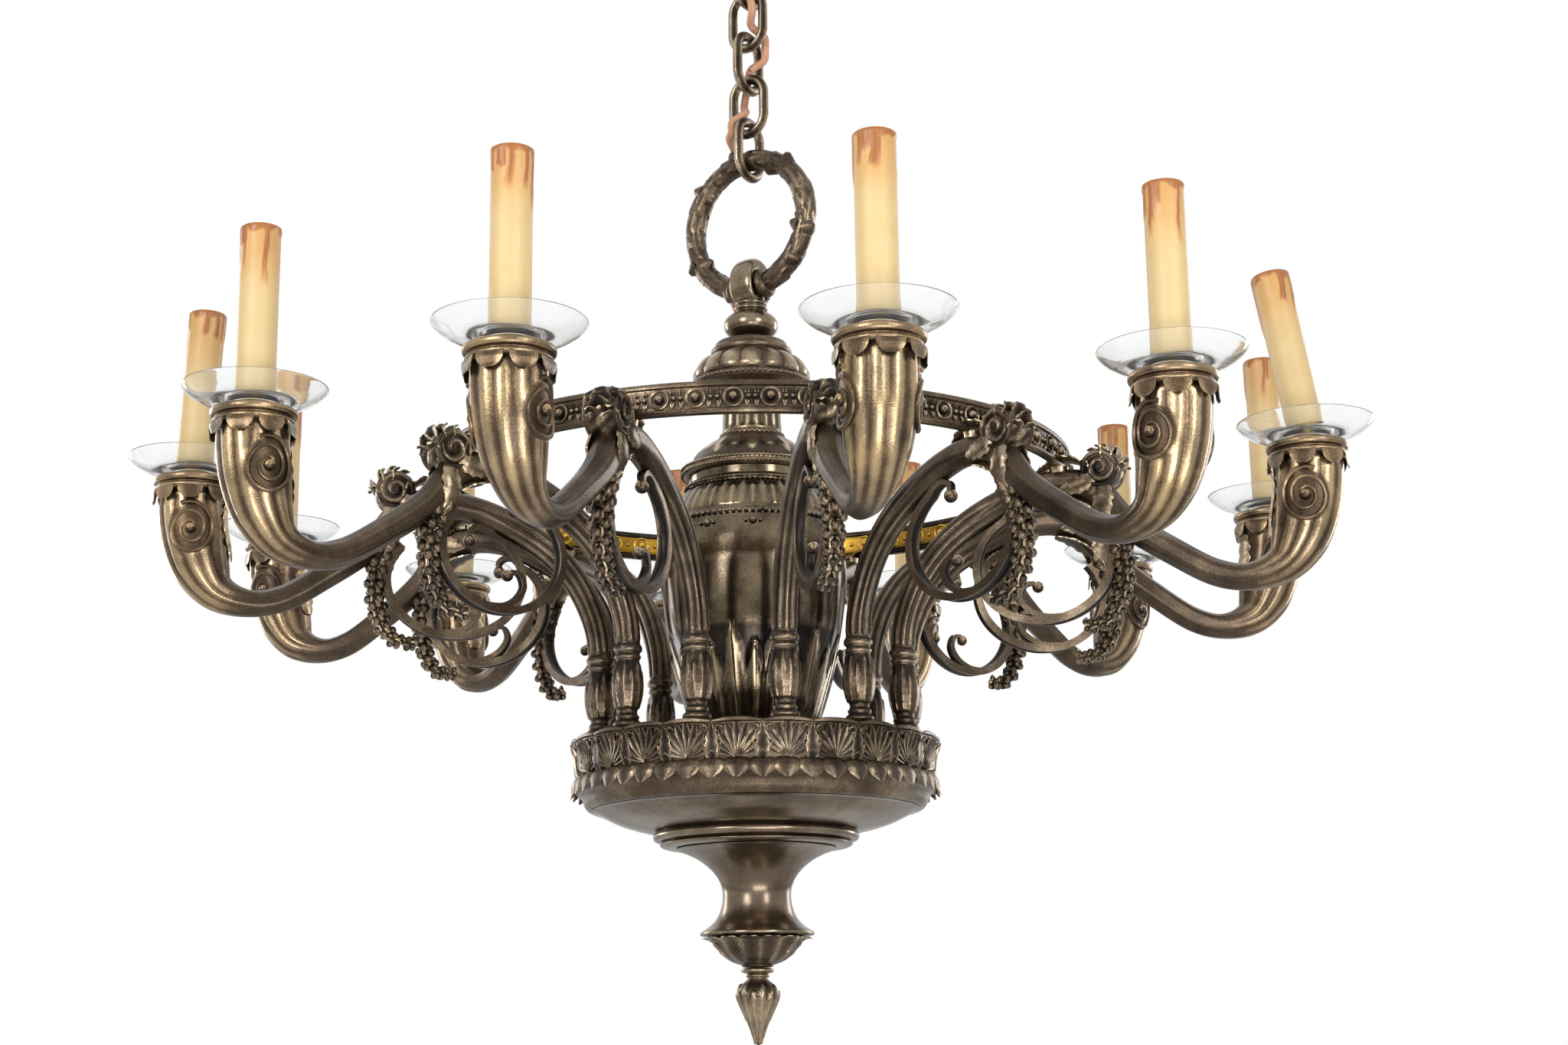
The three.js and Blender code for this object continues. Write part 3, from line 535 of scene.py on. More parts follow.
def chase_canopy(turn, radius, level):
    shell = np.arange(len(radius))[:, None] < len(bell)
    leaves = leaf_row(turn, (level - CANOPY - 12) / 19, 18) * (radius > 44) * (radius < 56) * shell
    return 1.5 * leaves, 0.35 + 0.6 * leaves + 0.3 * (1 - shell)


canopy_rim = ring_of(ball(1.6, (60, 0, CANOPY + 35.4)), 96)
canopy_profile = hollow([[5.4, CANOPY], *bell], 2.5, 5.4)[1:-3]
canopy_shell = turned(canopy_profile, 108, chase_canopy, True)
fitted("canopy", together(canopy_shell, canopy_rim), bronze, "ceiling_fitting")


# Nut, loop and fixing: a turned nut holds the canopy up, and a cast loop is screwed through it into
# the boss of a brass bracket. The lead ends in a glazed block beside the boss.
NUT = 431.1
nut_profile = curve_through([
    [5.4, 0], [9.4, 0.2], [10.4, 1.4], [10.2, 2.2], [11.8, 3],
    [12, 5], [11.6, 6.9], [5.4, 7],
], 4) + [0, NUT]


def knurl_nut(turn, radius, level):
    milled = np.cos(30 * turn) * (level > NUT + 2.6) * (radius > 11)
    return 0.3 * milled, 0.5 + 0.3 * milled


fitted("canopy_nut", turned(nut_profile, 120, knurl_nut, True), bronze, "ceiling_fitting")

# This tree bends a grooved wire into a link with round ends and straight sides.
bent, bent_sockets, (_, reach, straight, wire, groove, finish) = node_group(
    "Link of grooved wire",
    [("Blank", "Geometry"), *((name, "Float") for name in ("Reach", "Straight", "Wire", "Groove"))],
)
circle = bent.add("GeometryNodeCurvePrimitiveCircle", values={"Resolution": 64, "Radius": reach})
spot = bent.add("GeometryNodeInputPosition")
height = bent.add("ShaderNodeSeparateXYZ", values={0: spot}, output="Y")
stretch = bent.add(
    "ShaderNodeCombineXYZ", values={"Y": 0.5 * straight * height.math("SIGN", height)},
)
oval = bent.add("GeometryNodeSetPosition", values={"Geometry": circle, "Offset": stretch})
round_wire = bent.add("GeometryNodeCurvePrimitiveCircle", values={"Resolution": 24, "Radius": wire})
around = bent.add("GeometryNodeSplineParameter", output="Factor")
LIMB_GROOVES = 4
cut = around.math("COSINE", around * (2 * math.pi * LIMB_GROOVES))
shrink = bent.add(
    "ShaderNodeVectorMath", {"operation": "SCALE"}, {0: spot, "Scale": groove * (cut - 1)},
)
grooved = bent.add("GeometryNodeSetPosition", values={"Geometry": round_wire, "Offset": shrink})
marked = bent.add(
    "GeometryNodeStoreNamedAttribute", {"data_type": "FLOAT", "domain": "POINT"},
    {"Geometry": grooved, "Name": "relief", "Value": 0.5 + 0.28 * cut},
)
drawn = bent.add("GeometryNodeCurveToMesh", values={"Curve": oval, "Profile Curve": marked})
give_back(bent, drawn, finish)

ACROSS_RING = np.array([0.819152, -0.573576, 0])  # along the ring's plane
THROUGH_RING = np.array([-0.573576, -0.819152, 0])  # forwards through the ring
UPWARDS = np.array([0, 0, 1])
LINK_WIDTH, LINK_WIRE = 36, 4


def link(length, low_wire, plane):
    """A link whose lower wire's middle is at a level, in the vertical plane of a direction."""
    reach = LINK_WIDTH / 2 - LINK_WIRE
    straight = length - 2 * LINK_WIRE - 2 * reach
    blank = ball(0.1, (0, 0, 0))  # the tree doesn't use it, but a modifier needs a mesh
    points, faces, relief = worked(
        "link", blank, bronze, bent, bent_sockets,
        Reach=reach / 1000, Straight=straight / 1000, Wire=LINK_WIRE / 1000, Groove=0.07,
    )
    flat = points + [0, 0, RIMS * 1000]
    middle = low_wire + reach + straight / 2
    through = np.cross(plane, UPWARDS)
    return flat @ [plane, UPWARDS, through] + middle * UPWARDS, faces, relief


LOOP_WIRE, LOOP_LENGTH = 392.096, 40
shank = turned(curve_through([
    [3, 424], [5.6, 424.2], [6.4, 426], [5.6, 428], [5, 429.5], [5, 450], [5, 470], [4.6, 470.4],
], 4), 24)
loop = link(LOOP_LENGTH, LOOP_WIRE, THROUGH_RING)
fitted("canopy_loop", together(loop, shank), bronze, "ceiling_fitting")
brass = patina(
    "plain_brass", colour(110, 84, 36), colour(186, 150, 70), colour(214, 182, 104), 0.42, 0.26,
    grain=0.4,
)
glaze, tree, shader, place = material("glazed_block")
mottle = tree.noise(place, 260, 3)
shade = tree.colours(mottle, (0.3, colour(222, 216, 202)), (0.7, colour(236, 232, 222)))
surface(tree, shader, shade, 0.22 + 0.12 * mottle, 0.15, 0.0004, mottle)


def refinished(node, finish):
    """The CAD's own mesh of a plain node, with its look."""
    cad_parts[node].data.materials.clear()
    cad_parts[node].data.materials.append(finish)


refinished("ceiling_bracket", brass)
refinished("terminal_block", glaze)


# Supply lead: a salmon silk-covered flex, threaded through the links a quarter turn at a time. It
# runs down behind the ring's left side into the crown. Six lengths each span one hinge.
def swept(path, outline, side=None, relief=None, round_again=False):
    """A skin with an outline of [up, across] swept along a path."""
    path = np.asarray(path, float)
    if round_again:
        along = unit(np.roll(path, -1, 0) - np.roll(path, 1, 0))
    else:
        along = unit(np.gradient(path, axis=0))
    if side is None:
        sides = [unit(np.cross(along[0], [0.3, 0.9, 0.3]))]
        for forward in along[1:]:
            sides.append(unit(sides[-1] - forward * (sides[-1] @ forward)))
        side = np.array(sides)
    else:
        side = unit(side - along * (along * np.asarray(side, float)).sum(-1, keepdims=True))
    up = np.cross(along, side)
    outline = np.broadcast_to(outline, (len(path), *np.shape(outline)[-2:]))
    rings = path[:, None] + up[:, None] * outline[..., :1] + side[:, None] * outline[..., 1:]
    return skin(rings, relief, round_again)


def rod(radii, columns=8):
    """A round outline, or one for each of several radii."""
    turn = (np.arange(columns) + 0.5) / columns * 2 * math.pi
    return np.asarray(radii)[..., None, None] * np.stack([np.cos(turn), np.sin(turn)], -1)


LINKS, LINK_PITCH, RING_LEVEL, EYE_LEVEL, STEM_FOOT = 4, 35.3, 212.896, 162.196, 119.496
RING_R, BRANCH_R = 50.7, 7.7
LEAD_R, LEAD_COLUMNS, LEAD_OFF_RING = 3.0, 12, 12.2
LEAD_TOP = 459.8
lead_route = [
    (19.2, 14.4, LEAD_TOP), (19.2, 14.4, LEAD_TOP - 12), (19.2, 14.4, 436.4),
    (17, 13.5, 425.1), (10, 10, LOOP_WIRE + 14),
]
LEAD_WINDING = ((45, 13.4, 0), (51, 12.7, 0.25), (90, 3.3, 0.5), (129, 12.7, 0.75))
for number in range(LINKS):
    for turn, radius, down in LEAD_WINDING if number < LINKS - 1 else LEAD_WINDING[:1]:
        angle = math.radians(turn + 90 * number)
        level = LOOP_WIRE - (number + down) * LINK_PITCH
        lead_route.append((radius * math.cos(angle), radius * math.sin(angle), level))
lead_route += [
    (7.6, -12.8, 283.4), (1, -16, 281.6), (-6.8, -18.4, 278.6), (-12, -20.8, 270),
]
AWAY_FROM_CAMERA = np.array([-0.767, -0.537, 0.349])  # through the ring, across it and up
for turn in (122, 134, 147, 165, 183, 201, 219, 234):
    along = np.array([0, -math.sin(math.radians(turn)), math.cos(math.radians(turn))])
    away = AWAY_FROM_CAMERA - along * (AWAY_FROM_CAMERA @ along)
    on_ring = np.array([0, RING_R * along[2], RING_LEVEL - RING_R * along[1]])
    lead_route.append(tuple(on_ring + LEAD_OFF_RING * unit(away)))
lead_route += [
    (-13.5, -25, STEM_FOOT + 40), (-14.8, -20, STEM_FOOT + 26),
    (-14.5, -18.8, STEM_FOOT + 12), (-14.5, -18.8, STEM_FOOT - 6),
]
route = np.array(lead_route) @ [THROUGH_RING, ACROSS_RING, UPWARDS]
path = curve_through(route, 12)
silk, tree, shader, place = material("salmon_flex")
lay_place = tree.add("ShaderNodeAttribute", {"attribute_name": "lay"}, output="Vector")
braid = tree.add(
    "ShaderNodeTexWave", {"bands_direction": "DIAGONAL"},
    {"Vector": lay_place, "Scale": 1.6, "Distortion": 0.6, "Detail": 2},
)
soil = tree.noise(place, 60, 4)
shade = tree.colours(
    0.6 * braid + 0.5 * soil,
    (0.1, colour(150, 98, 72)), (0.55, colour(206, 146, 112)), (0.95, colour(232, 190, 158)),
)
surface(tree, shader, shade, 0.42 + 0.25 * soil, 0.5, 0.0004, braid)
hinges = [LOOP_WIRE - number * LINK_PITCH for number in range(LINKS + 1)] + [EYE_LEVEL]
cuts = [math.inf] + [(upper + lower) / 2 for upper, lower in zip(hinges, hinges[1:])] + [-math.inf]
for number, hinge in enumerate(hinges):
    inside = np.flatnonzero((path[:, 2] <= cuts[number]) & (path[:, 2] >= cuts[number + 1]))
    first, last = max(inside[0] - 1, 0), min(inside[-1], len(path) - 1)
    length = path[first:last + 1]
    part = swept(length, rod(LEAD_R, LEAD_COLUMNS), relief=0.5)
    lead = shaped(f"supply_lead_{number + 1}", part, silk)
    lay = np.zeros((len(part[0]), 3))
    row_number, column = np.divmod(np.arange(len(length) * LEAD_COLUMNS), LEAD_COLUMNS)
    lay[:len(column), 0] = 0.35 * row_number
    lay[:len(column), 1] = 6 * column / LEAD_COLUMNS
    lays = lead.data.attributes.new("lay", "FLOAT_VECTOR", "POINT")
    lays.data.foreach_set("vector", lay.astype("f").ravel())
    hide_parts("supply_lead")
    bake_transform(lead)


# Chain: four cast bronze links, each hung in the one above. The odd ones stand across the ring.
FIRST_WIRE, LINK_LENGTH = 250.896, 52
for number in range(1, LINKS + 1):
    plane = THROUGH_RING if number % 2 else ACROSS_RING
    level = FIRST_WIRE + (number - 1) * LINK_PITCH
    fitted(f"chain_link_{number}", link(LINK_LENGTH, level, plane), bronze, f"link_{number}")


# Wreath ring: a bronze ring cast as a leafy branch with the stubs of its side shoots. It hangs in
# the lowest link and passes through the eye of the stem.
SHOOTS = (  # where a side shoot's stub stands, in degrees, and whether it points outwards or in
    (140, 1), (49, 1), (-16, 1), (206, 1), (251, 1),
    (211, -1), (-14, -1), (59, -1), (101, 1), (318, 1),
)
COLUMNS, ROWS = 28, 300
bow = np.arange(ROWS) / ROWS * 2 * math.pi
around = (np.arange(COLUMNS) + 0.5) / COLUMNS * 2 * math.pi
LEAF_ROWS = 11


def on_ring_line(bow):
    """Points on the middle line of the ring."""
    out = np.cos(bow)[:, None] * ACROSS_RING + np.sin(bow)[:, None] * UPWARDS
    return RING_LEVEL * UPWARDS + RING_R * out


def branch_leaves(bow, around):
    """Narrow leaves that lie along the branch and overlap like scales."""
    height = 0
    for shift in (0.0, 0.5):
        lane = (around * 5 / (2 * math.pi) + shift + 0.35 * np.sin(3 * bow)) % 1 - 0.5
        rise = (bow * LEAF_ROWS / (2 * math.pi) + shift + 0.1 * np.cos(7 * around)) % 1
        across = np.abs(lane) * 2
        half = np.clip(1 - rise, 0, 1) ** 0.6 * np.clip(rise * 5 + 0.3, 0, 1)
        leaf = ramp(half - across, 0, 0.25)
        midrib = np.exp(-((across / 0.16) ** 2))
        height = np.maximum(height, leaf * (0.35 + 0.5 * rise + 0.25 * midrib))
    return height


leaves = branch_leaves(bow[:, None], around[None])
swell = BRANCH_R - 0.9 + 1.5 * leaves + 0.35 * np.sin(5 * bow)[:, None]
outline = np.stack([swell * np.cos(around), swell * np.sin(around)], -1)
branch = swept(on_ring_line(bow), outline, -THROUGH_RING, 0.3 + 0.3 * leaves, True)
shoots = []
for turn, way in SHOOTS:
    angle = math.radians(turn)
    out = math.cos(angle) * ACROSS_RING + math.sin(angle) * UPWARDS
    base = RING_LEVEL * UPWARDS + RING_R * out
    lean = unit(way * out + 0.35 * THROUGH_RING + 0.25 * np.cross(THROUGH_RING, out))
    stub = base + np.linspace(4.5, 11.6, 6)[:, None] * lean
    shoots.append(swept(stub, rod([7.2, 6.4, 5.4, 4.2, 3.1, 1.8], 9), relief=0.42))
# A thicker cuff on the branch at each side of the eye.
for way in (-1, 1):
    beside_eye = np.radians(-90 + way * np.array([8.5, 11.3, 11.9, 12.3, 15, 16.6, 18, 18.6]))
    cuff = rod([8.6, 8.9, 9.4, 11.2, 11.2, 10.6, 9.6, 8.2], 28)
    shoots.append(swept(on_ring_line(beside_eye), cuff, relief=0.45))
fitted("wreath_ring", together(branch, *shoots), bronze, "ring")


# Hanging stem: a turned bronze knob under a smooth domed eye, cast in one piece and screwed on the
# central tube. The ring passes through the eye.
EYE_BORE, EYE_HALF_WIDTH = 9.7, 10
knob = turned(
    curve_through([
        [1, 0], [11.4, 0.1], [12.6, 1.6], [12.2, 3],
        [14.5, 4.6], [19, 8.5], [20.2, 13], [19, 17.5],
        [14.5, 21.4], [11.4, 23], [11, 24], [12.4, 25],
        [12.4, 26.4], [10.9, 27.2], [10.7, 28],
        [11.8, 29], [11.8, 30.4], [10.8, 31.4],
        [10.6, 35], [7, 36],
    ], 4) + [0, STEM_FOOT],
    64,
)
bow = np.arange(72) / 72 * 2 * math.pi
crest = np.exp(-((np.angle(np.exp(1j * (bow - math.pi / 2))) / 0.95) ** 2))
eye_outer = 15.6 + 7.0 * crest
polar = np.arange(28) / 28 * 2 * math.pi
half_high = (eye_outer - EYE_BORE) / 2
high = half_high[:, None] * np.sign(np.sin(polar)) * np.abs(np.sin(polar)) ** 0.8
wide = EYE_HALF_WIDTH * np.sign(np.cos(polar)) * np.abs(np.cos(polar)) ** 0.7 + 0 * high
middle_r = (eye_outer + EYE_BORE) / 2
out = np.cos(bow)[:, None] * THROUGH_RING + np.sin(bow)[:, None] * UPWARDS
rings = (
    EYE_LEVEL * UPWARDS + out[:, None] * (middle_r[:, None] + high)[..., None]
    + ACROSS_RING * wide[..., None]
)
eye = skin(rings, None, True)
fitted("hanging_stem", together(knob, eye), polished_bronze)


# Crown: a cast and chased dome with rounded lobes and a fine rib between each two, under a smooth
# step that takes the lead.
CROWN = 81.2
dome = curve_through([
    [5.4, 0], [36, 0.1], [38.4, 0.8], [42.6, 2], [44, 4.5],
    [43.4, 6.6], [41.4, 7.4], [42.4, 9], [43, 12], [41, 17],
    [37.4, 21.6], [33, 24.6], [29.6, 26.2], [28.4, 27], [29.8, 28.4],
    [30, 31], [28.6, 32.6], [27.4, 33.2], [27, 35], [26, 36.8],
    [20, 37.7], [13.6, 38], [5.4, 38],
], 4) + [0, CROWN]


def gadroon(turn, radius, level):
    fade = ramp(level, CROWN + 7.6, CROWN + 10) * ramp(CROWN + 26.5 - level, 0, 2.5)
    lobe = np.abs(np.cos(8 * turn))
    rib = np.exp(-((np.abs(((turn * 16 / (2 * math.pi)) % 1) - 0.5) / 0.1) ** 2))
    push = 2.2 * (lobe**0.5 - 0.75) + 0.7 * rib
    return push * fade, 0.5 + fade * (0.55 * (lobe**0.5 - 0.6) + 0.2 * rib)


crown_beads = ring_of(ball(1.5, (43.2, 0, CROWN + 4.6)), 66)
LEAD_HOLE = -14.5 * THROUGH_RING - 18.8 * ACROSS_RING + (CROWN + 37.4) * UPWARDS
ferrule_turn = np.arange(24) / 24 * 2 * math.pi
FERRULE_R = 3.9
ferrule_ring = np.stack([np.cos(ferrule_turn), np.sin(ferrule_turn), 0 * ferrule_turn], -1)
ferrule = swept(LEAD_HOLE + FERRULE_R * ferrule_ring, rod(0.9), UPWARDS, 0.7, True)
fitted("crown_dome", together(turned(dome, 160, gadroon, True), crown_beads, ferrule), bronze)


# Neck: a fluted bronze collar between crown and lid, with beads round its foot.
NECK = 44.9
collar = curve_through([
    [5.4, 0], [23, 0], [23.4, 1.4], [22.6, 2.8], [21.6, 3.6], [21.8, 6],
    [21.4, 16], [21.2, 27], [21.8, 29], [23.2, 30.4], [23.2, 31.8],
    [22.6, 32.4], [25.4, 34], [26, 35.9], [5.4, 36],
], 5) + [0, NECK]


def flute_neck(turn, radius, level):
    fade = ramp(level, NECK + 5, NECK + 7) * ramp(NECK + 29 - level, 0, 2)
    flute = np.abs(np.sin(9 * turn)) ** 0.8
    return -1.5 * flute * fade, 0.55 + 0.25 * (1 - 2 * flute) * fade


neck_beads = ring_of(ball(1.3, (23, 0, NECK + 1.6)), 40)
fitted("neck_collar", together(turned(collar, 126, flute_neck, True), neck_beads), bronze)


# Lid: a low bronze dome chased with broad leaves, with two rows of beads round its rim.
LID = 14.6
lid_profile = curve_through([
    [5.4, 0], [46, 0], [50.4, 0.6], [52, 2.4], [51.4, 4.2], [52, 6],
    [50.4, 7.6], [47.4, 8], [46, 9], [45, 11], [41.6, 16],
    [36, 21], [30, 25.4], [26.4, 28], [25, 30], [5.4, 30],
], 5) + [0, LID]


def chase_lid(turn, radius, level):
    rise = (radius - 27) / 18
    leaves = leaf_row(turn, rise, 10, 6) * (level > LID + 8.6)
    return 1.1 * leaves, 0.35 + 0.6 * leaves + 0.2 * (level < LID + 8.6)


lid_beads = [
    ring_of(ball(1.2, (51.8, 0, LID + level)), count, first)
    for level, count, first in ((2.1, 100, 0), (5.8, 100, 1.8))
]
fitted("urn_lid", together(turned(lid_profile, 180, chase_lid, True), *lid_beads), bronze)


# Urn: a spun and cast bronze vase on the deck. Tall leaves wrap its foot, its middle is polished,
# and an engraved band with beads and small bosses runs below its mouth.
URN = -182.7
urn_side = curve_through([
    [42, 0.3], [44.4, 1.4], [44.6, 4], [42.6, 5.6], [41.8, 7], [43.6, 8.4], [43.4, 10.4],
    [43.6, 13], [46.2, 19.7], [50.8, 34], [55.8, 51.2], [60, 68], [63.2, 82.7], [66, 102],
    [68, 122.1], [67.4, 134], [66, 145.8], [63.4, 157], [62.8, 158.6], [63.4, 160.4], [61.6, 163],
    [61, 164.6], [59.2, 169.4], [54.6, 178], [50.4, 184], [48.6, 187], [49.4, 188.6], [48.8, 190.2],
    [47.2, 191], [47, 194], [47, 196.9],
], 5) + [0, URN]
urn_profile = hollow(urn_side, 2.5, 5.4)
URN_OUTSIDE = np.arange(len(urn_profile))[:, None] < len(urn_side)


def chase_urn(turn, radius, level):
    rise = (level - URN - 12) / 66
    leaves = leaf_row(turn, rise, 12, 8)
    band = ramp(level, URN + 164.5, URN + 166) * ramp(URN + 186 - level, 0, 1.5)
    palm = leaf_row(turn, (level - URN - 165) / 21, 24, 4) * band
    wrapped = ramp(URN + 80 - level, 0, 2) * (level > URN + 11)
    height = (1.9 * leaves * wrapped + 1.0 * palm) * URN_OUTSIDE
    plain = 0.56 - 0.3 * wrapped - 0.2 * band
    return height, plain + (0.62 * leaves * wrapped + 0.5 * palm)


BOSSES = URN + 151.5
boss_and_beads = together(
    ball(3.0, (64.6, 0, BOSSES), 12, 7), *(ball(1.4, (65.4, y, BOSSES)) for y in (5.2, -5.2)),
)
urn_beads = [
    ring_of(ball(1.7, (63.3, 0, URN + 159.6)), 84),
    ring_of(ball(1.3, (49.3, 0, URN + 188.5)), 80),
    ring_of(boss_and_beads, 12),
]
urn_finish = patina(
    "polished_urn", colour(26, 21, 19), colour(72, 62, 52), colour(172, 152, 124), 0.2, 0.07,
    grain=0.3, metal=1.0,
)
fitted("urn_body", together(turned(urn_profile, 216, chase_urn, True), *urn_beads), urn_finish)


# Hoop: a flat cast band that ties the arms' shoulders together. Framed pearls and pairs of small
# beads run round its outside between two fillets, and its inside keeps its gilding.
HOOP_LOW, HOOP_TALL = 0.5, 21.5
hoop_profile = np.array([
    [226.6, 0], [231.4, 0], [232, 0.6], [232, 3.0], [231.2, 3.6], [230.4, 4.0], [230.3, 7],
    [230.3, 14.5], [230.4, 17.5], [231.2, 17.9], [232, 18.5], [232, 20.9], [231.4, 21.5],
    [226.6, 21.5], [226, 20.9], [226, 18.5], [226.8, 17.9], [227.2, 17.4], [227.2, 10.8],
    [227.2, 4.1], [226.8, 3.6], [226, 3.0], [226, 0.6],
]) + [0, HOOP_LOW]
band = turned(hoop_profile, 240, None, True)
fillets = np.hypot(band[0][:, 0], band[0][:, 1]) > 230.35
band = (*band[:2], np.where(fillets, 0.5, 0.24))
HOOP_MIDDLE = HOOP_LOW + HOOP_TALL / 2
FRAMES, FRAME_R = 60, 5.9
eye_turn = np.arange(20) / 20 * 2 * math.pi
frame_ring = np.stack([
    230.9 + 0 * eye_turn, FRAME_R * np.cos(eye_turn), HOOP_MIDDLE + FRAME_R * np.sin(eye_turn),
], -1)
pearl_frame = swept(frame_ring, rod(0.95, 6), [1, 0, 0], 0.6, True)
pearl = ball(3.3, (231.2, 0, HOOP_MIDDLE), 12, 8)
cell = math.radians(360 / FRAMES)
small = [
    ball(1.75, (231 * math.cos(turn), 231 * math.sin(turn), HOOP_MIDDLE), 8, 6)
    for turn in (cell / 2 - 0.0093, cell / 2 + 0.0093)
]
leaf_fan = [
    blade(
        [[reach, 9.0 * way, HOOP_MIDDLE + rise * up]
         for reach, up in ((230.6, 2.6), (231.2, 4.4), (230.9, 6.2))],
        [1.6, 1.3, 0.4], 0.9, [0, 1, 0], columns=6, vein=0,
    )
    for way in (-1, 1) for rise in (-1, 1)
]
# The inside carries the same frames and pearls, softer and gilt.
TO_INSIDE = [-4.5, 0, 0]
inner_row = together(
    swept(frame_ring + TO_INSIDE, rod(0.95, 6), [1, 0, 0], 0.75, True),
    ball(3.0, (226.4, 0, HOOP_MIDDLE), 12, 8),
    ball(1.7, (226.5 * math.cos(cell / 2), 226.5 * math.sin(cell / 2), HOOP_MIDDLE), 8, 6),
)
outer_row = ring_of(together(pearl_frame, pearl, *small, *leaf_fan), FRAMES, 3.0, 0.05)
fitted("hoop", together(band, outer_row), bronze)
gilt = patina(
    "worn_gilding", colour(104, 74, 24), colour(186, 144, 52), colour(226, 190, 96), 0.42, 0.24,
    grain=0.6, metal=1.0,
)
gilt_profile = np.array([
    [226.7, 4.4], [227.1, 4.4], [227.1, 17.2], [226.7, 17.2], [226.5, 16], [226.3, 14], [226.5, 12],
    [226.5, 9.6], [226.3, 7.6], [226.5, 5.6],
]) + [0, HOOP_LOW]
gilt_band = toned(turned(gilt_profile, 200, None, True), 0.34, 0)
fitted("hoop_gilding", together(gilt_band, ring_of(inner_row, FRAMES)), gilt, node="hoop")


# Arms: twelve bronze castings, screwed to the deck. Each is a ringed foot, a vase in leaf lappets
# and a fluted column that bends out under the hoop, dips, and turns up into a fluted candle cup.
ARM_COUNT, FIRST_ARM = 12, -80.4  # the first arm's turn in degrees
ARM_SET = {1: 0.9, 10: 1.1, 11: -1.2}  # degrees that an arm stands off its even spacing
SLEEVE_LEAN = {3: 9.0, 10: 2.5}  # degrees that a candle leans inwards
CUP_X, DECK = 400, URN
FOOT_TALL, CUP_TALL = 66, 112  # along the arm
LEFTWARDS = np.array([0.0, 1.0, 0.0])
arm_line = curve_through([
    [112, DECK, 9.5, 9.5], [112, DECK + 9, 9.5, 9.5], [112, DECK + 16, 7, 7],
    [112, DECK + 34, 10.3, 10.3], [112, DECK + 54, 8.5, 8.5], [112, DECK + 63, 9, 9],
    [114.4, -100.65, 9, 9], [126.4, -71.4, 9.5, 9], [145.6, -47.6, 10, 9], [172, -29.3, 10.5, 9],
    [202, -16, 9.5, 9.5], [229, -11.5, 10, 10], [250.5, -17, 11, 10], [275.7, -44, 9.5, 10.5],
    [305.9, -66, 9, 9.5], [336.2, -84, 9, 9.5], [358, -88, 9.5, 10.5], [379.8, -81, 13.5, 14.5],
    [391, -65.1, 19.5, 19.5], [397, -44, 23, 22.5], [400, -22, 23.5, 23.5], [400, -8, 23.5, 23.5],
], 24)
walked = np.concatenate([[0], np.cumsum(np.linalg.norm(np.diff(arm_line[:, :2], axis=0), axis=1))])
at_shoulder = walked[np.argmin(np.hypot(arm_line[:, 0] - 202, arm_line[:, 1] + 16))]
at_dip = walked[np.argmin(np.hypot(arm_line[:, 0] - 305.9, arm_line[:, 1] + 66))]
stops = np.concatenate([
    np.arange(0, FOOT_TALL, 0.85), np.arange(FOOT_TALL, at_shoulder, 3.2),
    np.arange(at_shoulder, at_dip, 3.2), np.arange(at_dip, walked[-1], 1.5), walked[-1:],
])
arm_line = np.stack([np.interp(stops, walked, arm_line[:, i]) for i in range(4)], -1)
rise = stops[:, None]  # along the arm from its foot
FOOT_RINGS = np.array([
    [0, 9.4], [2.2, 9.5], [3.2, 8.2], [4.2, 8.6], [5.6, 10.0], [7.4, 9.9], [8.8, 8.4], [9.6, 7.3],
    [10.6, 8.1], [12, 8.2], [13, 7.0], [15, 6.6], [17.5, 7.4], [22, 8.9], [28, 10.0], [33, 10.3],
    [39, 10.0], [46, 8.9], [50.5, 8.1], [51.6, 8.2], [52.4, 9.2], [54, 9.3], [55, 8.3], [56.4, 8.4],
    [57.6, 9.9], [60, 10.1], [61.4, 9.2], [62.4, 8.5], [66, 8.9],
])
foot_radius = np.interp(stops, FOOT_RINGS[:, 0], FOOT_RINGS[:, 1])
thick, wide = (
    np.where(stops < FOOT_TALL, foot_radius, arm_line[:, i])[:, None] for i in (2, 3)
)
ARM_COLUMNS, CUP_FLUTES, COLUMN_FLUTES = 72, 12, 10
around = (np.arange(ARM_COLUMNS) + 0.5) / ARM_COLUMNS * 2 * math.pi
on_vase = (rise > 16) * (rise < 51)
lappets = leaf_row(around + 0.2, (rise - 17) / 33, 6, 5) * on_vase
flute = 0.5 - 0.5 * np.cos(COLUMN_FLUTES * around)
column = ramp(rise, 63, 66) * (1 - ramp(rise, 150, 205))
x, z = arm_line[:, :1], arm_line[:, 1:2]
lane = (around * CUP_FLUTES / (2 * math.pi)) % 1 * 2 - 1
tongue_end = -13.5 - 4.5 * (1 - np.sqrt(1 - lane**2))
cup_from = walked[-1] - CUP_TALL
tongues = ramp(rise, cup_from, cup_from + 52) * (1 - ramp(z, tongue_end - 1.2, tongue_end + 0.4))
tongues = tongues * ramp(-np.cos(around), -1.4, -0.2)
rib = np.sqrt(np.clip(1 - np.abs(lane) ** 2.4, 0, 1))
tongue_push = -2.6 * (1 - rib) + 0.55 * np.exp(-((lane / 0.13) ** 2)) - 0.2
VOLUTE_X, VOLUTE_Z, VOLUTE_R, VOLUTE_TALL = 399.5, -40.0, 14.2, 1.15
onwards = unit(np.gradient(arm_line[:, :2], axis=0))
spot_x = x - thick * np.cos(around) * onwards[:, 1:]
spot_z = z + thick * np.cos(around) * onwards[:, :1]
apart = np.hypot(spot_x - VOLUTE_X, (spot_z - VOLUTE_Z) / VOLUTE_TALL)
disc = 1 - ramp(apart, VOLUTE_R - 0.5, VOLUTE_R + 1.5)
throat = ramp(rise, cup_from + 70, cup_from + 74) * ramp(z, -14.5, -13)
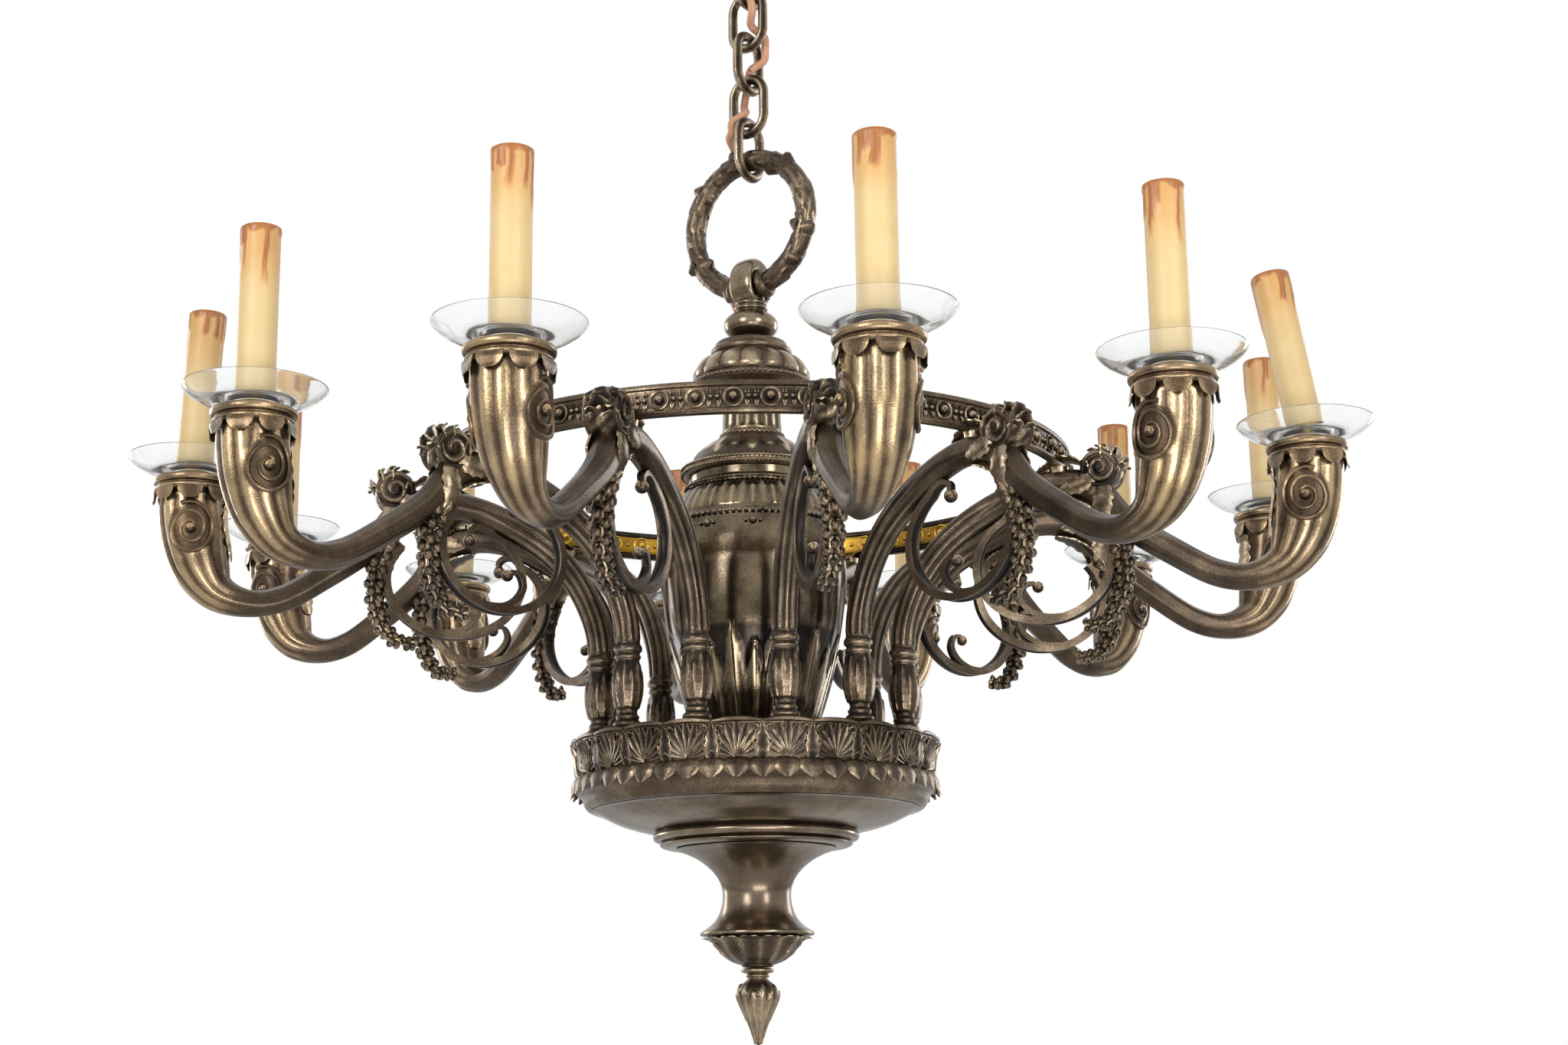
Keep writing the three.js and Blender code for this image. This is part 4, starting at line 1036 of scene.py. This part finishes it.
facets = np.cos(6 * around) * ramp(rise, 205, 230) * (1 - ramp(rise, cup_from - 10, cup_from + 20))
push = (
    1.3 * lappets - 1.15 * flute * column + tongue_push * tongues * (1 - disc)
    + 0.35 * facets + 0.3 * disc - 1.1 * throat
)
relief = (
    0.43 + 0.3 * (thick - np.roll(thick, 1, 0)) * (rise < FOOT_TALL)
    + 0.4 * (lappets - 0.4) * on_vase + 0.34 * (0.5 - flute) * column
    + (0.55 * rib - 0.28 + 0.2 * np.exp(-((lane / 0.16) ** 2))) * tongues * (1 - disc)
    - 0.2 * throat - 0.08 * disc
)
middle = np.stack([arm_line[:, 0], 0 * stops, arm_line[:, 1]], -1)
outline = np.stack([(thick + push) * np.cos(around), (wide + push) * np.sin(around)], -1)
limb = swept(middle, outline, LEFTWARDS, relief)

rim_profile = curve_through([
    [3, -11.4], [22.6, -11.2], [24.4, -10.6], [25.9, -9.0], [25.6, -7.4], [24.2, -6.6],
    [24.6, -5.8], [26.9, -5.0], [27.6, -3.0], [27.2, -1.2], [25.6, -0.2], [24, 0], [3, 0],
], 4)
rim = turned(rim_profile, 60)
rim_leaf = toned(blade(
    [[24.2, 0, -8.4], [25.6, 0, -10.8], [26.0, 0, -13.4], [26.0, 0, -16], [26.4, 0, -18],
     [27.2, 0, -19.2]],
    [8.4, 9.0, 8.8, 7.4, 5.2, 3.0], 1.4, LEFTWARDS, columns=12,
), 0.1, 0.62)
cup_rim = moved(together(rim, ring_of(rim_leaf, 8, 0, 1.5)), [CUP_X, 0, 0])

TURNS = 2.3
wound = np.linspace(0, 1, 84)
spiral_r = VOLUTE_R * (1 - wound) ** 0.85 + 2.6
spiral_a = math.radians(65) + wound * TURNS * 2 * math.pi
place_x = VOLUTE_X + spiral_r * np.cos(spiral_a)
place_z = VOLUTE_Z + VOLUTE_TALL * spiral_r * np.sin(spiral_a)
cup_middle = np.interp(place_z, [-65, -44, -22, -8], [391, 397, 400, 400])
bulge = np.sqrt(np.clip(1 - ((place_x - cup_middle) / 24) ** 2, 0.02, 1))
bulge = bulge * np.interp(place_z, [-60, -48, -36], [21.4, 22.4, 23])
volutes = []
for way in (-1, 1):
    volute_path = np.stack([place_x, way * (bulge + 0.5), place_z], -1)
    facing = np.cross(unit(np.gradient(volute_path, axis=0)), [0, way, 0])
    volutes.append(swept(volute_path, rod(1.75 - 0.7 * wound, 7), facing, 0.5))
    volutes.append(ball(4.1, (VOLUTE_X, way * 22.6, VOLUTE_Z), 14, 8))
inner_leaf = blade(
    curve_through([
        [371.5, 0, -58], [373.2, 0, -46], [375.6, 0, -32], [375.2, 0, -20], [371.6, 0, -15],
    ], 6),
    [5, 9, 10, 8, 2], 1.6, LEFTWARDS, 6, -0.22, 12,
)
seat = swept(
    [[229, 0, -16], [229, 0, -8], [229, 0, -2], [229, 0, 0.1]],
    rod([6.82, 6.16, 6.6, 7.04], 12), LEFTWARDS,
)
casting = together(limb, cup_rim, *volutes, inner_leaf, seat)


# Scrollwork: a ribbon scroll under each shoulder, a leafy scroll on top, and a garland of husks
# and berries with its tip turned in. All were cast apart and brazed to the arm.
SCROLL = (216, -68)
ribbon = np.array([
    [2.5, -4.4], [2.5, -3.2], [1.5, -2.2], [1.5, 2.2], [2.5, 3.2], [2.5, 4.4],
    [-2.5, 4.4], [-2.5, 3.2], [-1.5, 2.2], [-1.5, -2.2], [-2.5, -3.2], [-2.5, -4.4],
])
ribbon_relief = np.array([0.5, 0.45, 0.1, 0.1, 0.45, 0.5] * 2)
sweep = np.radians(np.linspace(38, -235, 60))
strap_path = np.stack(
    [SCROLL[0] + 48 * np.cos(sweep), 0 * sweep, SCROLL[1] + 40 * np.sin(sweep)], -1,
)
curl = curve_through([
    strap_path[-1], [193.5, 0, -30.2], [200.5, 0, -28], [206.3, 0, -31], [206.8, 0, -36.4],
], 6)
strap_path = np.vstack([strap_path[:-1], curl])
last = len(strap_path) - 1
narrow = np.interp(np.arange(last + 1), [0, 45, 66, last], [1.15, 1.0, 0.85, 0.55])
strap = swept(strap_path, narrow[:, None, None] * ribbon, LEFTWARDS, ribbon_relief)
branch_path = curve_through([
    [231, 0, -106], [216, 0, -105], [204, 0, -99], [198.6, 0, -90], [202, 0, -81.6],
    [209, 0, -80.6],
], 8)
branch_size = np.linspace(0.9, 0.5, len(branch_path))[:, None, None]
inner_branch = swept(branch_path, branch_size * ribbon, LEFTWARDS, ribbon_relief)
buds = ball(4.7, (206.4, 0, -38.4), 14, 9), ball(4.1, (211, 0, -83.5), 14, 9)

BOSS = (260, -5)
half_boss = np.array([
    [0.7, -13.4], [2.6, -13.1], [3.6, -12.0], [4.2, -11.2], [6.2, -11.6], [8.4, -11.3],
    [10.2, -10.6], [11.2, -11.6], [12.8, -11.9], [13.6, -10.8], [13.2, -9], [12.2, -7],
    [12.6, -3.5], [13.4, 0],
])
boss_profile = curve_through([*half_boss, *(half_boss[-2::-1] * [1, -1])], 2)


def chase_boss(turn, radius, level):
    scroll = ((turn / (2 * math.pi) + radius / 6.5) % 1 - 0.5) / 0.24
    petals = np.exp(-(scroll**2)) * (radius > 3) * (radius < 12.4)
    bark = np.abs(np.sin(4 * turn + 0.25 * level)) * (np.abs(level) < 8.5)
    return 1.5 * petals + 1.3 * bark, 0.2 + 0.4 * petals + 0.35 * bark + 0.2 * (radius > 13)


barrel = turned(boss_profile, 56, chase_boss)
across, depth, level = barrel[0].T
barrel = (np.stack([across + BOSS[0], level, BOSS[1] - depth], -1), *barrel[1:])
tuft = []
for root, tip, half in (
    ((264, 0, 5), (258, 0, 17), 7.5), ((257, 0, 5), (247.5, 0, 12), 7.5),
    ((269, 0, 2.5), (270, 0, 14.5), 7.2), ((272, 0, -2), (279, 0, 6), 7.0),
    ((260, 6.5, 4), (256, 11, 13.5), 6.4), ((267, 6.5, 2.5), (268, 11.5, 12), 6.4),
    ((271, 6, -6), (277, 10.5, -2), 6.0), ((251, 6, -4), (243, 10.5, 2), 6.0),
):
    for way in (1, -1) if root[1] else (1,):
        start = np.array(root) * [1, way, 1]
        reach = 0.8 * (np.array(tip) * [1, way, 1] - start)
        bend = start + reach / 2 + [1.6, 0, 1.6]
        line = curve_through([start - 0.25 * reach, start, bend, start + reach], 4)
        tuft.append(blade(line, [4, half, half * 0.8, 0.9], 2.2, LEFTWARDS, 3, -0.3, 10))
back_leaf = blade(
    curve_through([[250, 0, -2], [240, 0, 3], [229, 0, 4], [218, 0, -1], [209, 0, -4]], 6),
    [5, 9, 8.5, 6, 1], 1.8, LEFTWARDS, 6, -0.25, 12,
)
under_leaf = blade(
    curve_through([
        [230, 0, -22], [243, 0, -24.5], [256, 0, -32], [266, 0, -45], [270, 0, -58], [277, 0, -66],
    ], 6),
    [5, 9, 10, 9, 6, 1], 2.2, LEFTWARDS, 8, -0.25, 12,
)

# This tree threads husks along a garland's curve, each a little smaller than the one before.
strung, strung_sockets, (husk, line, count, last_size, finish) = node_group(
    "Husks along a curve",
    (("Husk", "Geometry"), ("Line", "Object"), ("Count", "Int"), ("Last size", "Float")),
)
thread = strung.add("GeometryNodeObjectInfo", values={"Object": line}, output="Geometry")
knots = strung.add("GeometryNodeResampleCurve", values={"Curve": thread, "Count": count})
tangent = strung.add("GeometryNodeInputTangent")
aim = strung.add("FunctionNodeAlignRotationToVector", {"axis": "Z"}, {"Vector": tangent})
index = strung.add("GeometryNodeInputIndex")
scale = 1 - (1 - last_size) * index.math("DIVIDE", index, count - 1)
hung = strung.add(
    "GeometryNodeInstanceOnPoints",
    values={"Points": knots, "Instance": husk, "Rotation": aim, "Scale": scale},
)
give_back(strung, hung, finish)


def husk_lobes(turn, radius, level):
    lobe = np.abs(np.cos(2.5 * turn))
    return (lobe - 0.5) * 0.24 * radius, 0.2 + 0.75 * lobe


husk_shape = turned(curve_through([
    [1.2, -5], [3.0, -4.2], [3.8, -0.5], [4.2, 3.5], [5.6, 6.4], [4.6, 6.2], [3.0, 4.4], [1.4, 4.2],
], 2), 30, husk_lobes)
berries = [
    ball(2.9, (4.6 * math.cos(a), 4.6 * math.sin(a), 5.6 - 4.6 * (number % 2)), 8, 6)
    for number, a in enumerate(np.arange(6) / 6 * 2 * math.pi)
]
bunch = together(husk_shape, *berries)
bunch = (1.5 * bunch[0] - [0, 0, RIMS * 1000], bunch[1], 0.72 * bunch[2])
drape = [
    (263, 0, -40), (268, 0, -52), (271, 0, -68), (271.5, 0, -84), (268, 0, -99), (260, 0, -110),
    (249, 0, -113),
]
garland_curve = bpy.data.curves.new("garland line", "CURVE")
garland_curve.dimensions = "3D"
spline = garland_curve.splines.new("POLY")
spline.points.add(len(drape) - 1)
for point, place in zip(spline.points, drape):
    point.co = (*(value / 1000 for value in place), 1)
garland_line = bpy.data.objects.new("garland line", garland_curve)
scene.collection.objects.link(garland_line)
husks = moved(worked(
    "garland", bunch, bronze, strung, strung_sockets, Line=garland_line, Count=9, Last_size=0.55,
), [0, 0, RIMS * 1000])
bpy.data.objects.remove(garland_line)
stem_line = curve_through([[262, 0, -30], *drape[1:], [243, 0, -108]], 3)
stalk = swept(stem_line, rod(np.linspace(2.6, 1.4, len(stem_line))), LEFTWARDS)
flank_leaves = []
flank_lines = np.array([
    [[257, 10, -10], [251, 12.2, -13.5], [244, 12.6, -16], [237, 12, -17.5], [231, 10.5, -18.5]],
    [[262, 9, -14], [262, 12.4, -24], [261, 12.4, -33], [262, 9, -42], [264, 6, -50]],
])
for way in (-1, 1):
    for line, half in zip(flank_lines * [1, way, 1], (6, 6.5)):
        line = curve_through(line, 4)
        side = way * np.cross(LEFTWARDS, unit(line[-1] - line[0]))
        leaf = blade(line, [4, half, half, 0.75 * half, 1], 2.0, side, 5, -0.3, 12, 0.8)
        flank_leaves.append(toned(leaf, 0.32, 0.42))
scrollwork = together(
    strap, inner_branch, *buds, barrel, *tuft, *flank_leaves, back_leaf, under_leaf, husks, stalk,
)

NIPPLE_R, HOLDER_FOOT, HOLDER_H, HOLDER_R = 5, 8.3, 84, 8.8
nipple = turned([[0.6, -4], [NIPPLE_R, -4], [NIPPLE_R, 8], [NIPPLE_R, 15], [0.6, 15]], 16)
nipple = moved(nipple, [CUP_X, 0, 0])
MOUTH = HOLDER_FOOT + HOLDER_H
holder = turned([
    [0.6, HOLDER_FOOT], [8.2, HOLDER_FOOT], [HOLDER_R, HOLDER_FOOT + 1], [HOLDER_R, MOUTH - 30],
    [HOLDER_R, MOUTH - 0.6], [HOLDER_R - 0.5, MOUTH], [7.5, MOUTH], [7.2, MOUTH - 0.6],
    [7.2, MOUTH - 14], [7.2, MOUTH - 28], [0.6, MOUTH - 28],
], 40)
SLEEVE_FOOT, SLEEVE_H, SLEEVE_R, DISH_TOP = 8.3, 113, 12.5, 8


def turned_by(x, y, angle):
    """The place of a point of a plane when the plane is turned round its origin."""
    return x * math.cos(angle) - y * math.sin(angle), x * math.sin(angle) + y * math.cos(angle)


def put_on_arm(part, number):
    turn = math.radians(FIRST_ARM + ARM_SET.get(number, 0) + 360 / ARM_COUNT * (number - 1))
    x, y, z = part[0].T
    return np.stack([*turned_by(x, y, turn), z], -1), *part[1:]


def standing(part, number, leaning=True):
    """A part modelled on the cup's axis, leant with its candle and put on its arm."""
    lean = math.radians(SLEEVE_LEAN.get(number, 0)) if leaning else 0
    x, y, z = part[0].T
    x, z = turned_by(x, z - DISH_TOP, lean)
    foot = DISH_TOP + SLEEVE_R * math.sin(lean)
    return put_on_arm((np.stack([x + CUP_X, y, z + foot], -1), *part[1:]), number)


for number in range(1, ARM_COUNT + 1):
    arm = f"arm_{number:02d}"
    fitted(arm, put_on_arm(casting, number), cup_bronze)
    fitted(f"{arm}_scrollwork", put_on_arm(scrollwork, number), bronze, node=arm)
    lampholder = together(put_on_arm(nipple, number), standing(holder, number))
    fitted(f"{arm}_lampholder", lampholder, brass, node=arm)


# Drip dishes: clear glass saucers with a small hollow foot and an upturned lip. Each is held on
# its cup by the lampholder's nipple.
dish_profile = curve_through([
    [16.2, 0.3], [17.4, 0.3], [18.6, 0.9], [20, 2.2], [25, 3.3], [32.6, 5.0], [39.5, 8.4],
    [43.6, 11.6], [45.6, 14], [45.9, 14.8], [45.2, 15.1], [44.3, 14.4], [42.2, 12.6], [38, 10],
    [31.6, 7.3], [25, 6.4], [18, 7.9], [12, DISH_TOP], [5.6, DISH_TOP], [5.4, 7.4], [5.6, 5.6],
    [12, 5.5], [15, 5.2], [16, 4.2], [16, 1.2],
], 3)


def blown(turn, radius, level):
    return 0.12 * np.sin(3 * turn + radius / 9) * (radius > 22), 0.5


dish = turned(dish_profile, 64, blown, True)
glass, tree, shader, place = material("clear_glass")
tree.join(0.95, shader["Transmission Weight"])
tree.join(1.3, shader["IOR"])
waves = tree.noise(place, 42, 2)
dust = tree.noise(place, 300, 4)
shade = tree.colours(waves, (0.3, (0.93, 0.95, 0.945)), (0.7, (0.98, 0.985, 0.98)))
surface(tree, shader, shade, 0.02 + 0.08 * dust * dust, 0.12, 0.001, waves)
for number in range(1, ARM_COUNT + 1):
    fitted(f"bobeche_{number:02d}", standing(dish, number, False), glass)


# Candle covers: cream card tubes coated to look like wax, with darker orange drips that run down
# from the mouth. Each slips over its lampholder, and two of them stand crooked.
wax, tree, shader, place = material("wax_coated_card")
drip = tree.add("ShaderNodeAttribute", {"attribute_name": "relief"}, output="Fac")
mottle = tree.noise(place, 70, 4)
fine = tree.noise(place, 700, 2)
shade = tree.colours(
    drip + (mottle - 0.5) * 0.3 + (fine - 0.5) * 0.08,
    (0.08, colour(210, 184, 132)), (0.34, colour(205, 165, 106)), (0.62, colour(197, 148, 86)),
    (1.0, colour(160, 98, 46)),
)
roughness = 0.5 - 0.14 * drip + (mottle - 0.5) * 0.2
surface(tree, shader, shade, roughness, 0.25, 0.0006, mottle + 0.3 * fine)
tree.join(0.12, shader["Subsurface Weight"])
tree.join((0.006, 0.003, 0.0015), shader["Subsurface Radius"])
top = SLEEVE_FOOT + SLEEVE_H
dry = top - 62  # no drip runs down to this level
levels = np.concatenate([np.linspace(SLEEVE_FOOT, dry, 12)[:-1], np.linspace(dry, top - 0.8, 59)])
sleeve_profile = np.vstack([
    np.stack([np.full(70, SLEEVE_R), levels], -1),
    [[SLEEVE_R - 0.4, top - 0.1], [SLEEVE_R - 0.75, top], [11.1, top - 0.2], [11.0, top - 1],
     [11.0, top - 20], [11.0, top - 60], [11.0, SLEEVE_FOOT + 0.3], [11.3, SLEEVE_FOOT]],
])
for number in range(1, ARM_COUNT + 1):
    chance = np.random.default_rng(40 + number)
    runs = [
        (chance.uniform(0, 2 * math.pi), chance.uniform(9, 54) * chance.uniform(0.5, 1.1),
         chance.uniform(0.11, 0.19), chance.uniform(0.5, 1.1))
        for _ in range(13)
    ]

    def drips(turn, radius, level):
        below = top - level
        ledge = 4.5 + 1.6 * np.sin(3 * turn + number) + 1.1 * np.sin(7 * turn + 2 * number)
        height = 0.55 * (1 - ramp(below, ledge - 1.5, ledge + 1))
        for spot, length, half, deep in runs:
            apart = np.abs(np.angle(np.exp(1j * (turn - spot - 0.05 * np.sin(below / 6)))))
            grown = half * (1 + 0.35 * ramp(below, length * 0.55, length * 0.92))
            end = np.clip(1 - (below / length) ** 7, 0, 1)
            run = deep * np.sqrt(np.clip(1 - (apart / grown) ** 2, 0, 1)) * end
            height = np.maximum(height, run)
        outer = (radius > SLEEVE_R - 0.3) * (level > dry - 2)
        tone = np.clip(height * 0.95, 0, 1) * outer + 0.46 * ramp(level, top - 58, top) * outer
        # Inside the sleeve, below radius 11.8, the tone is raised, which paints it darker: painted
        # shade inside the tube.
        return height * outer * (1 - 0.4 * (below < 1.2)), tone + 0.08 + 0.35 * (radius < 11.8)

    sleeve = standing(turned(sleeve_profile, 84, drips, True), number)
    fitted(f"candle_sleeve_{number:02d}", sleeve, wax)




# Gallery: a cast bronze band under the arms, with its deck. A row of shell lobes with scrolled
# rims and upright darts runs round it, over a row of leaf tips and a plain polished cove.
GALLERY_LOW = -229.2
face = curve_through([
    [117.3, GALLERY_LOW], [119.4, -228.6], [121.8, -226], [123.2, -222.4], [124.6, -219.4],
    [127.6, -217.6], [129.6, -214], [128.4, -210.4], [125.6, -208.6], [125.4, -206], [126.6, -201],
    [127.0, -196], [127.6, -191], [129.2, -186.4], [130.4, -183], [129.8, -181.2],
], 4)
gallery_profile = np.vstack([
    face, [[124.2, -181.2], [123.8, -182], [123.8, -183], [5.4, -183], [5.4, -187], [122.2, -187]],
    [[121.6, -200], [121.8, -214], [118, -224], [115, GALLERY_LOW]],
])
LOBES, GALLERY_R, HALF_LOBE = 24, 129, 16.9


def on_gallery(sideways, level, proud):
    """A place on the band's face, in front, that stands proud of it."""
    radius = np.interp(level, face[:, 1], face[:, 0]) + proud
    angle = np.asarray(sideways) / GALLERY_R
    return np.stack([radius * np.cos(angle), radius * np.sin(angle), level + 0 * angle], -1)


def raised(sideways, level, proud, thickness):
    """A ridge that lies on the band's face along a line and tapers at its ends."""
    line = on_gallery(sideways, level, proud)
    taper = np.clip(np.linspace(0.25, 3, len(line)), 0, 1)
    facing = np.cross(unit(np.gradient(line, axis=0)), [1, 0, 0])
    return swept(line, rod(thickness * np.sqrt(taper * taper[::-1]), 6), facing, 0.45)


lobe_parts = []
for spread in np.radians(np.linspace(-70, 70, 9)):
    out, up = np.sin(spread), np.cos(spread)
    reach = np.linspace(2, 22.5 - 9 * out**2 * up, 8)
    rib = on_gallery(reach * out, -206 + reach * up, 0.3 + 1.6 * (reach / 22) ** 3)
    lobe_parts.append(blade(rib, [1.2, 2.3, 3.1, 3.5, 1.8], 2.6, [0, up, -out], 0, -0.4, 6, 0))
a = np.linspace(-1, 1, 18)
lobe_parts.append(raised(16.2 * a, -182.6 + 1.2 * np.cos(math.pi * a / 2), 0.4, 1.8))
level = np.linspace(-206.6, -184.6, 9)
sideways = [-0.13, 0.99, 0]
dart = on_gallery(0 * level + HALF_LOBE, level, 0.9)
lobe_parts.append(blade(dart, [3.2, 4.6, 4.2, 3.2, 1.0], 3.0, sideways, 4, -0.2, 10, 0.4))
for way in (-1, 1):
    slant = np.linspace(0, 1, 7)
    flank = on_gallery(HALF_LOBE + way * (2.2 + 6.6 * slant**2), -207 + 19 * slant, 0.5)
    lobe_parts.append(blade(flank, [2.0, 3.0, 2.4, 0.5], 2.0, sideways, 0, -0.3, 6, 0))
    a = np.radians(np.linspace(20, 300, 14))
    curl_r = 3.0 * (1 - a / 8.5)
    curl_across, curl_level = way * (12.4 - curl_r * np.cos(a)), -188 + curl_r * np.sin(a)
    lobe_parts.append(raised(curl_across, curl_level, 1.3, 1.3))
leaf_tip = toned(blade(
    [[126.2, 0, -206.2], [128.8, 0, -209.2], [130.6, 0, -213], [130.8, 0, -216.4],
     [132.0, 0, -220]],
    [9.6, 10.4, 10.0, 7.6, 1.8], 2.6, LEFTWARDS, 4, -0.2, 14, 0.4,
), 0, 0.7)


def paint_gallery_shadow(turn, radius, level):
    # The band's face behind the lobes and leaf tips gets a lower relief: painted shade behind the
    # ornament.
    outside = (radius > 119) * (level < -181)
    return 0, 0.5 - 0.12 * ramp(level, -219, -217) * outside


fitted("gallery_band", together(
    turned(gallery_profile, 192, paint_gallery_shadow, True),
    ring_of(together(*lobe_parts), LOBES, FIRST_ARM, 0.1), ring_of(leaf_tip, 48, 2.0, 0.4),
), bronze)


# Pan: a spun and polished bronze dish that closes the gallery from below, with a rolled step and a
# bead turned round its middle.
pan_side = curve_through([
    [62.2, -255.5], [64.6, -255.2], [67.4, -254.4], [68.6, -253.2], [67.6, -252.2], [66.6, -251.6],
    [69.2, -251.2], [72.4, -250], [73.4, -247.6], [72.6, -245.4], [70.6, -244.4], [74.6, -243.6],
    [80, -242.8], [90, -240.4], [100, -237], [109, -232.6], [114, -230.2], [117.3, -229.5],
], 5)
pan_profile = np.vstack([
    pan_side, [[114.4, -229.5], [106, -231.4], [96, -235.6], [80, -240.2], [68, -242.4]],
    [[62, -251], [5.4, -252.6], [5.4, -255.4]],
])
fitted("bowl_pan", turned(pan_profile, 192, None, True), polished_bronze)


# Trumpet: a spun and polished bronze waist between the pan and the leaf cup.
TRUMPET = -316.8
trumpet_profile = curve_through([
    [5.4, 0], [38.6, 0], [40.2, 0.6], [40.2, 2], [38.4, 3.4],
    [33.4, 6.8], [28.6, 12], [25.2, 20], [24.2, 28],
    [25.1, 34.4], [28, 41], [33, 47], [40, 52.6],
    [49, 57.4], [56, 60], [57, 60.6], [56, 61], [5.4, 61],
], 5) + [0, TRUMPET]
fitted("pendant_trumpet", turned(trumpet_profile, 128, None, True), polished_bronze)


# Leaf cup: a cast bronze cup of upright leaves whose tips turn outwards under the trumpet.
LEAF_CUP = -338.6
cup_profile = curve_through([
    [5.4, 0], [9.6, 0], [11.2, 0.8], [10.8, 2], [12.2, 2.8],
    [17, 5], [22.6, 8.6], [26.6, 13], [28.8, 17],
    [31.4, 20], [33.6, 21.3], [5.4, 21.5],
], 4) + [0, LEAF_CUP]


def shade_cup(turn, radius, level):
    return -0.7 * (radius > 14), 0.4


cup_leaf = toned(blade(
    curve_through([
        [12, 0, 2.2], [19, 0, 5.6], [25, 0, 10.6], [28.6, 0, 15.4], [32, 0, 19], [36.4, 0, 20.4],
        [39.4, 0, 20],
    ], 3) + [0, 0, LEAF_CUP],
    [2.4, 4.6, 6.4, 7.4, 7.6, 6.0, 0.8], 1.3, LEFTWARDS, 5, -0.1, 14, 0.7,
), 0.3, 0.45)
cup_dart = blade(
    curve_through([[13, 0, 2.4], [22.6, 0, 8], [27.6, 0, 13.6], [32, 0, 18.4], [35, 0, 20]], 3)
    + [0, 0, LEAF_CUP],
    [1.4, 2.6, 3.2, 3.0, 0.5], 0.9, LEFTWARDS, 0, 0, 8, 0.4,
)
CUP_LEAVES = 14
fitted("leaf_cup", together(
    turned(cup_profile, 96, shade_cup, True), ring_of(cup_leaf, CUP_LEAVES, 4, 0.6),
    ring_of(cup_dart, CUP_LEAVES, 4 + 180 / CUP_LEAVES),
), bronze)


# Drop: a small cast bronze finial, ringed at its neck and wrapped in leaves down to its point. It
# screws on the end of the central tube.
TIP = -391.9
drop_profile = curve_through([
    [0.7, 0], [1.9, 1.2], [2.9, 4.4], [4.4, 9], [6.4, 14.4], [9.6, 22],
    [12.6, 28.4], [14.2, 33], [14.3, 36], [12.8, 39.6], [10, 42.8],
    [7.9, 44.6], [7.2, 46], [8.2, 46.8], [8.2, 47.8], [7.2, 48.6],
    [9.6, 49.4], [11.4, 50.4], [11.4, 51.6], [10.6, 52.4], [8, 52.8], [0.7, 53],
], 5) + [0, TIP]


def wrap_drop(turn, radius, level):
    height = level - TIP
    upper = leaf_row(turn, np.clip((height - 16) / 26, -1, 2), 7, 5) * (height < 42)
    lower = leaf_row(turn + 0.45, np.clip((height - 1) / 26, -1, 2), 5, 5) * (height < 27)
    leaves = np.maximum(upper, 0.8 * lower)
    return 1.5 * leaves * (height < 43), 0.42 + 0.36 * leaves + 0.2 * (height > 43)


fitted("finial_drop", turned(drop_profile, 90, wrap_drop), bronze)


# Central tube and its nut: a plain brass tube threads the turned pieces together from the drop to
# the knob. The nut clamps the deck.
refinished("central_tube", brass)
refinished("rod_nut", brass)
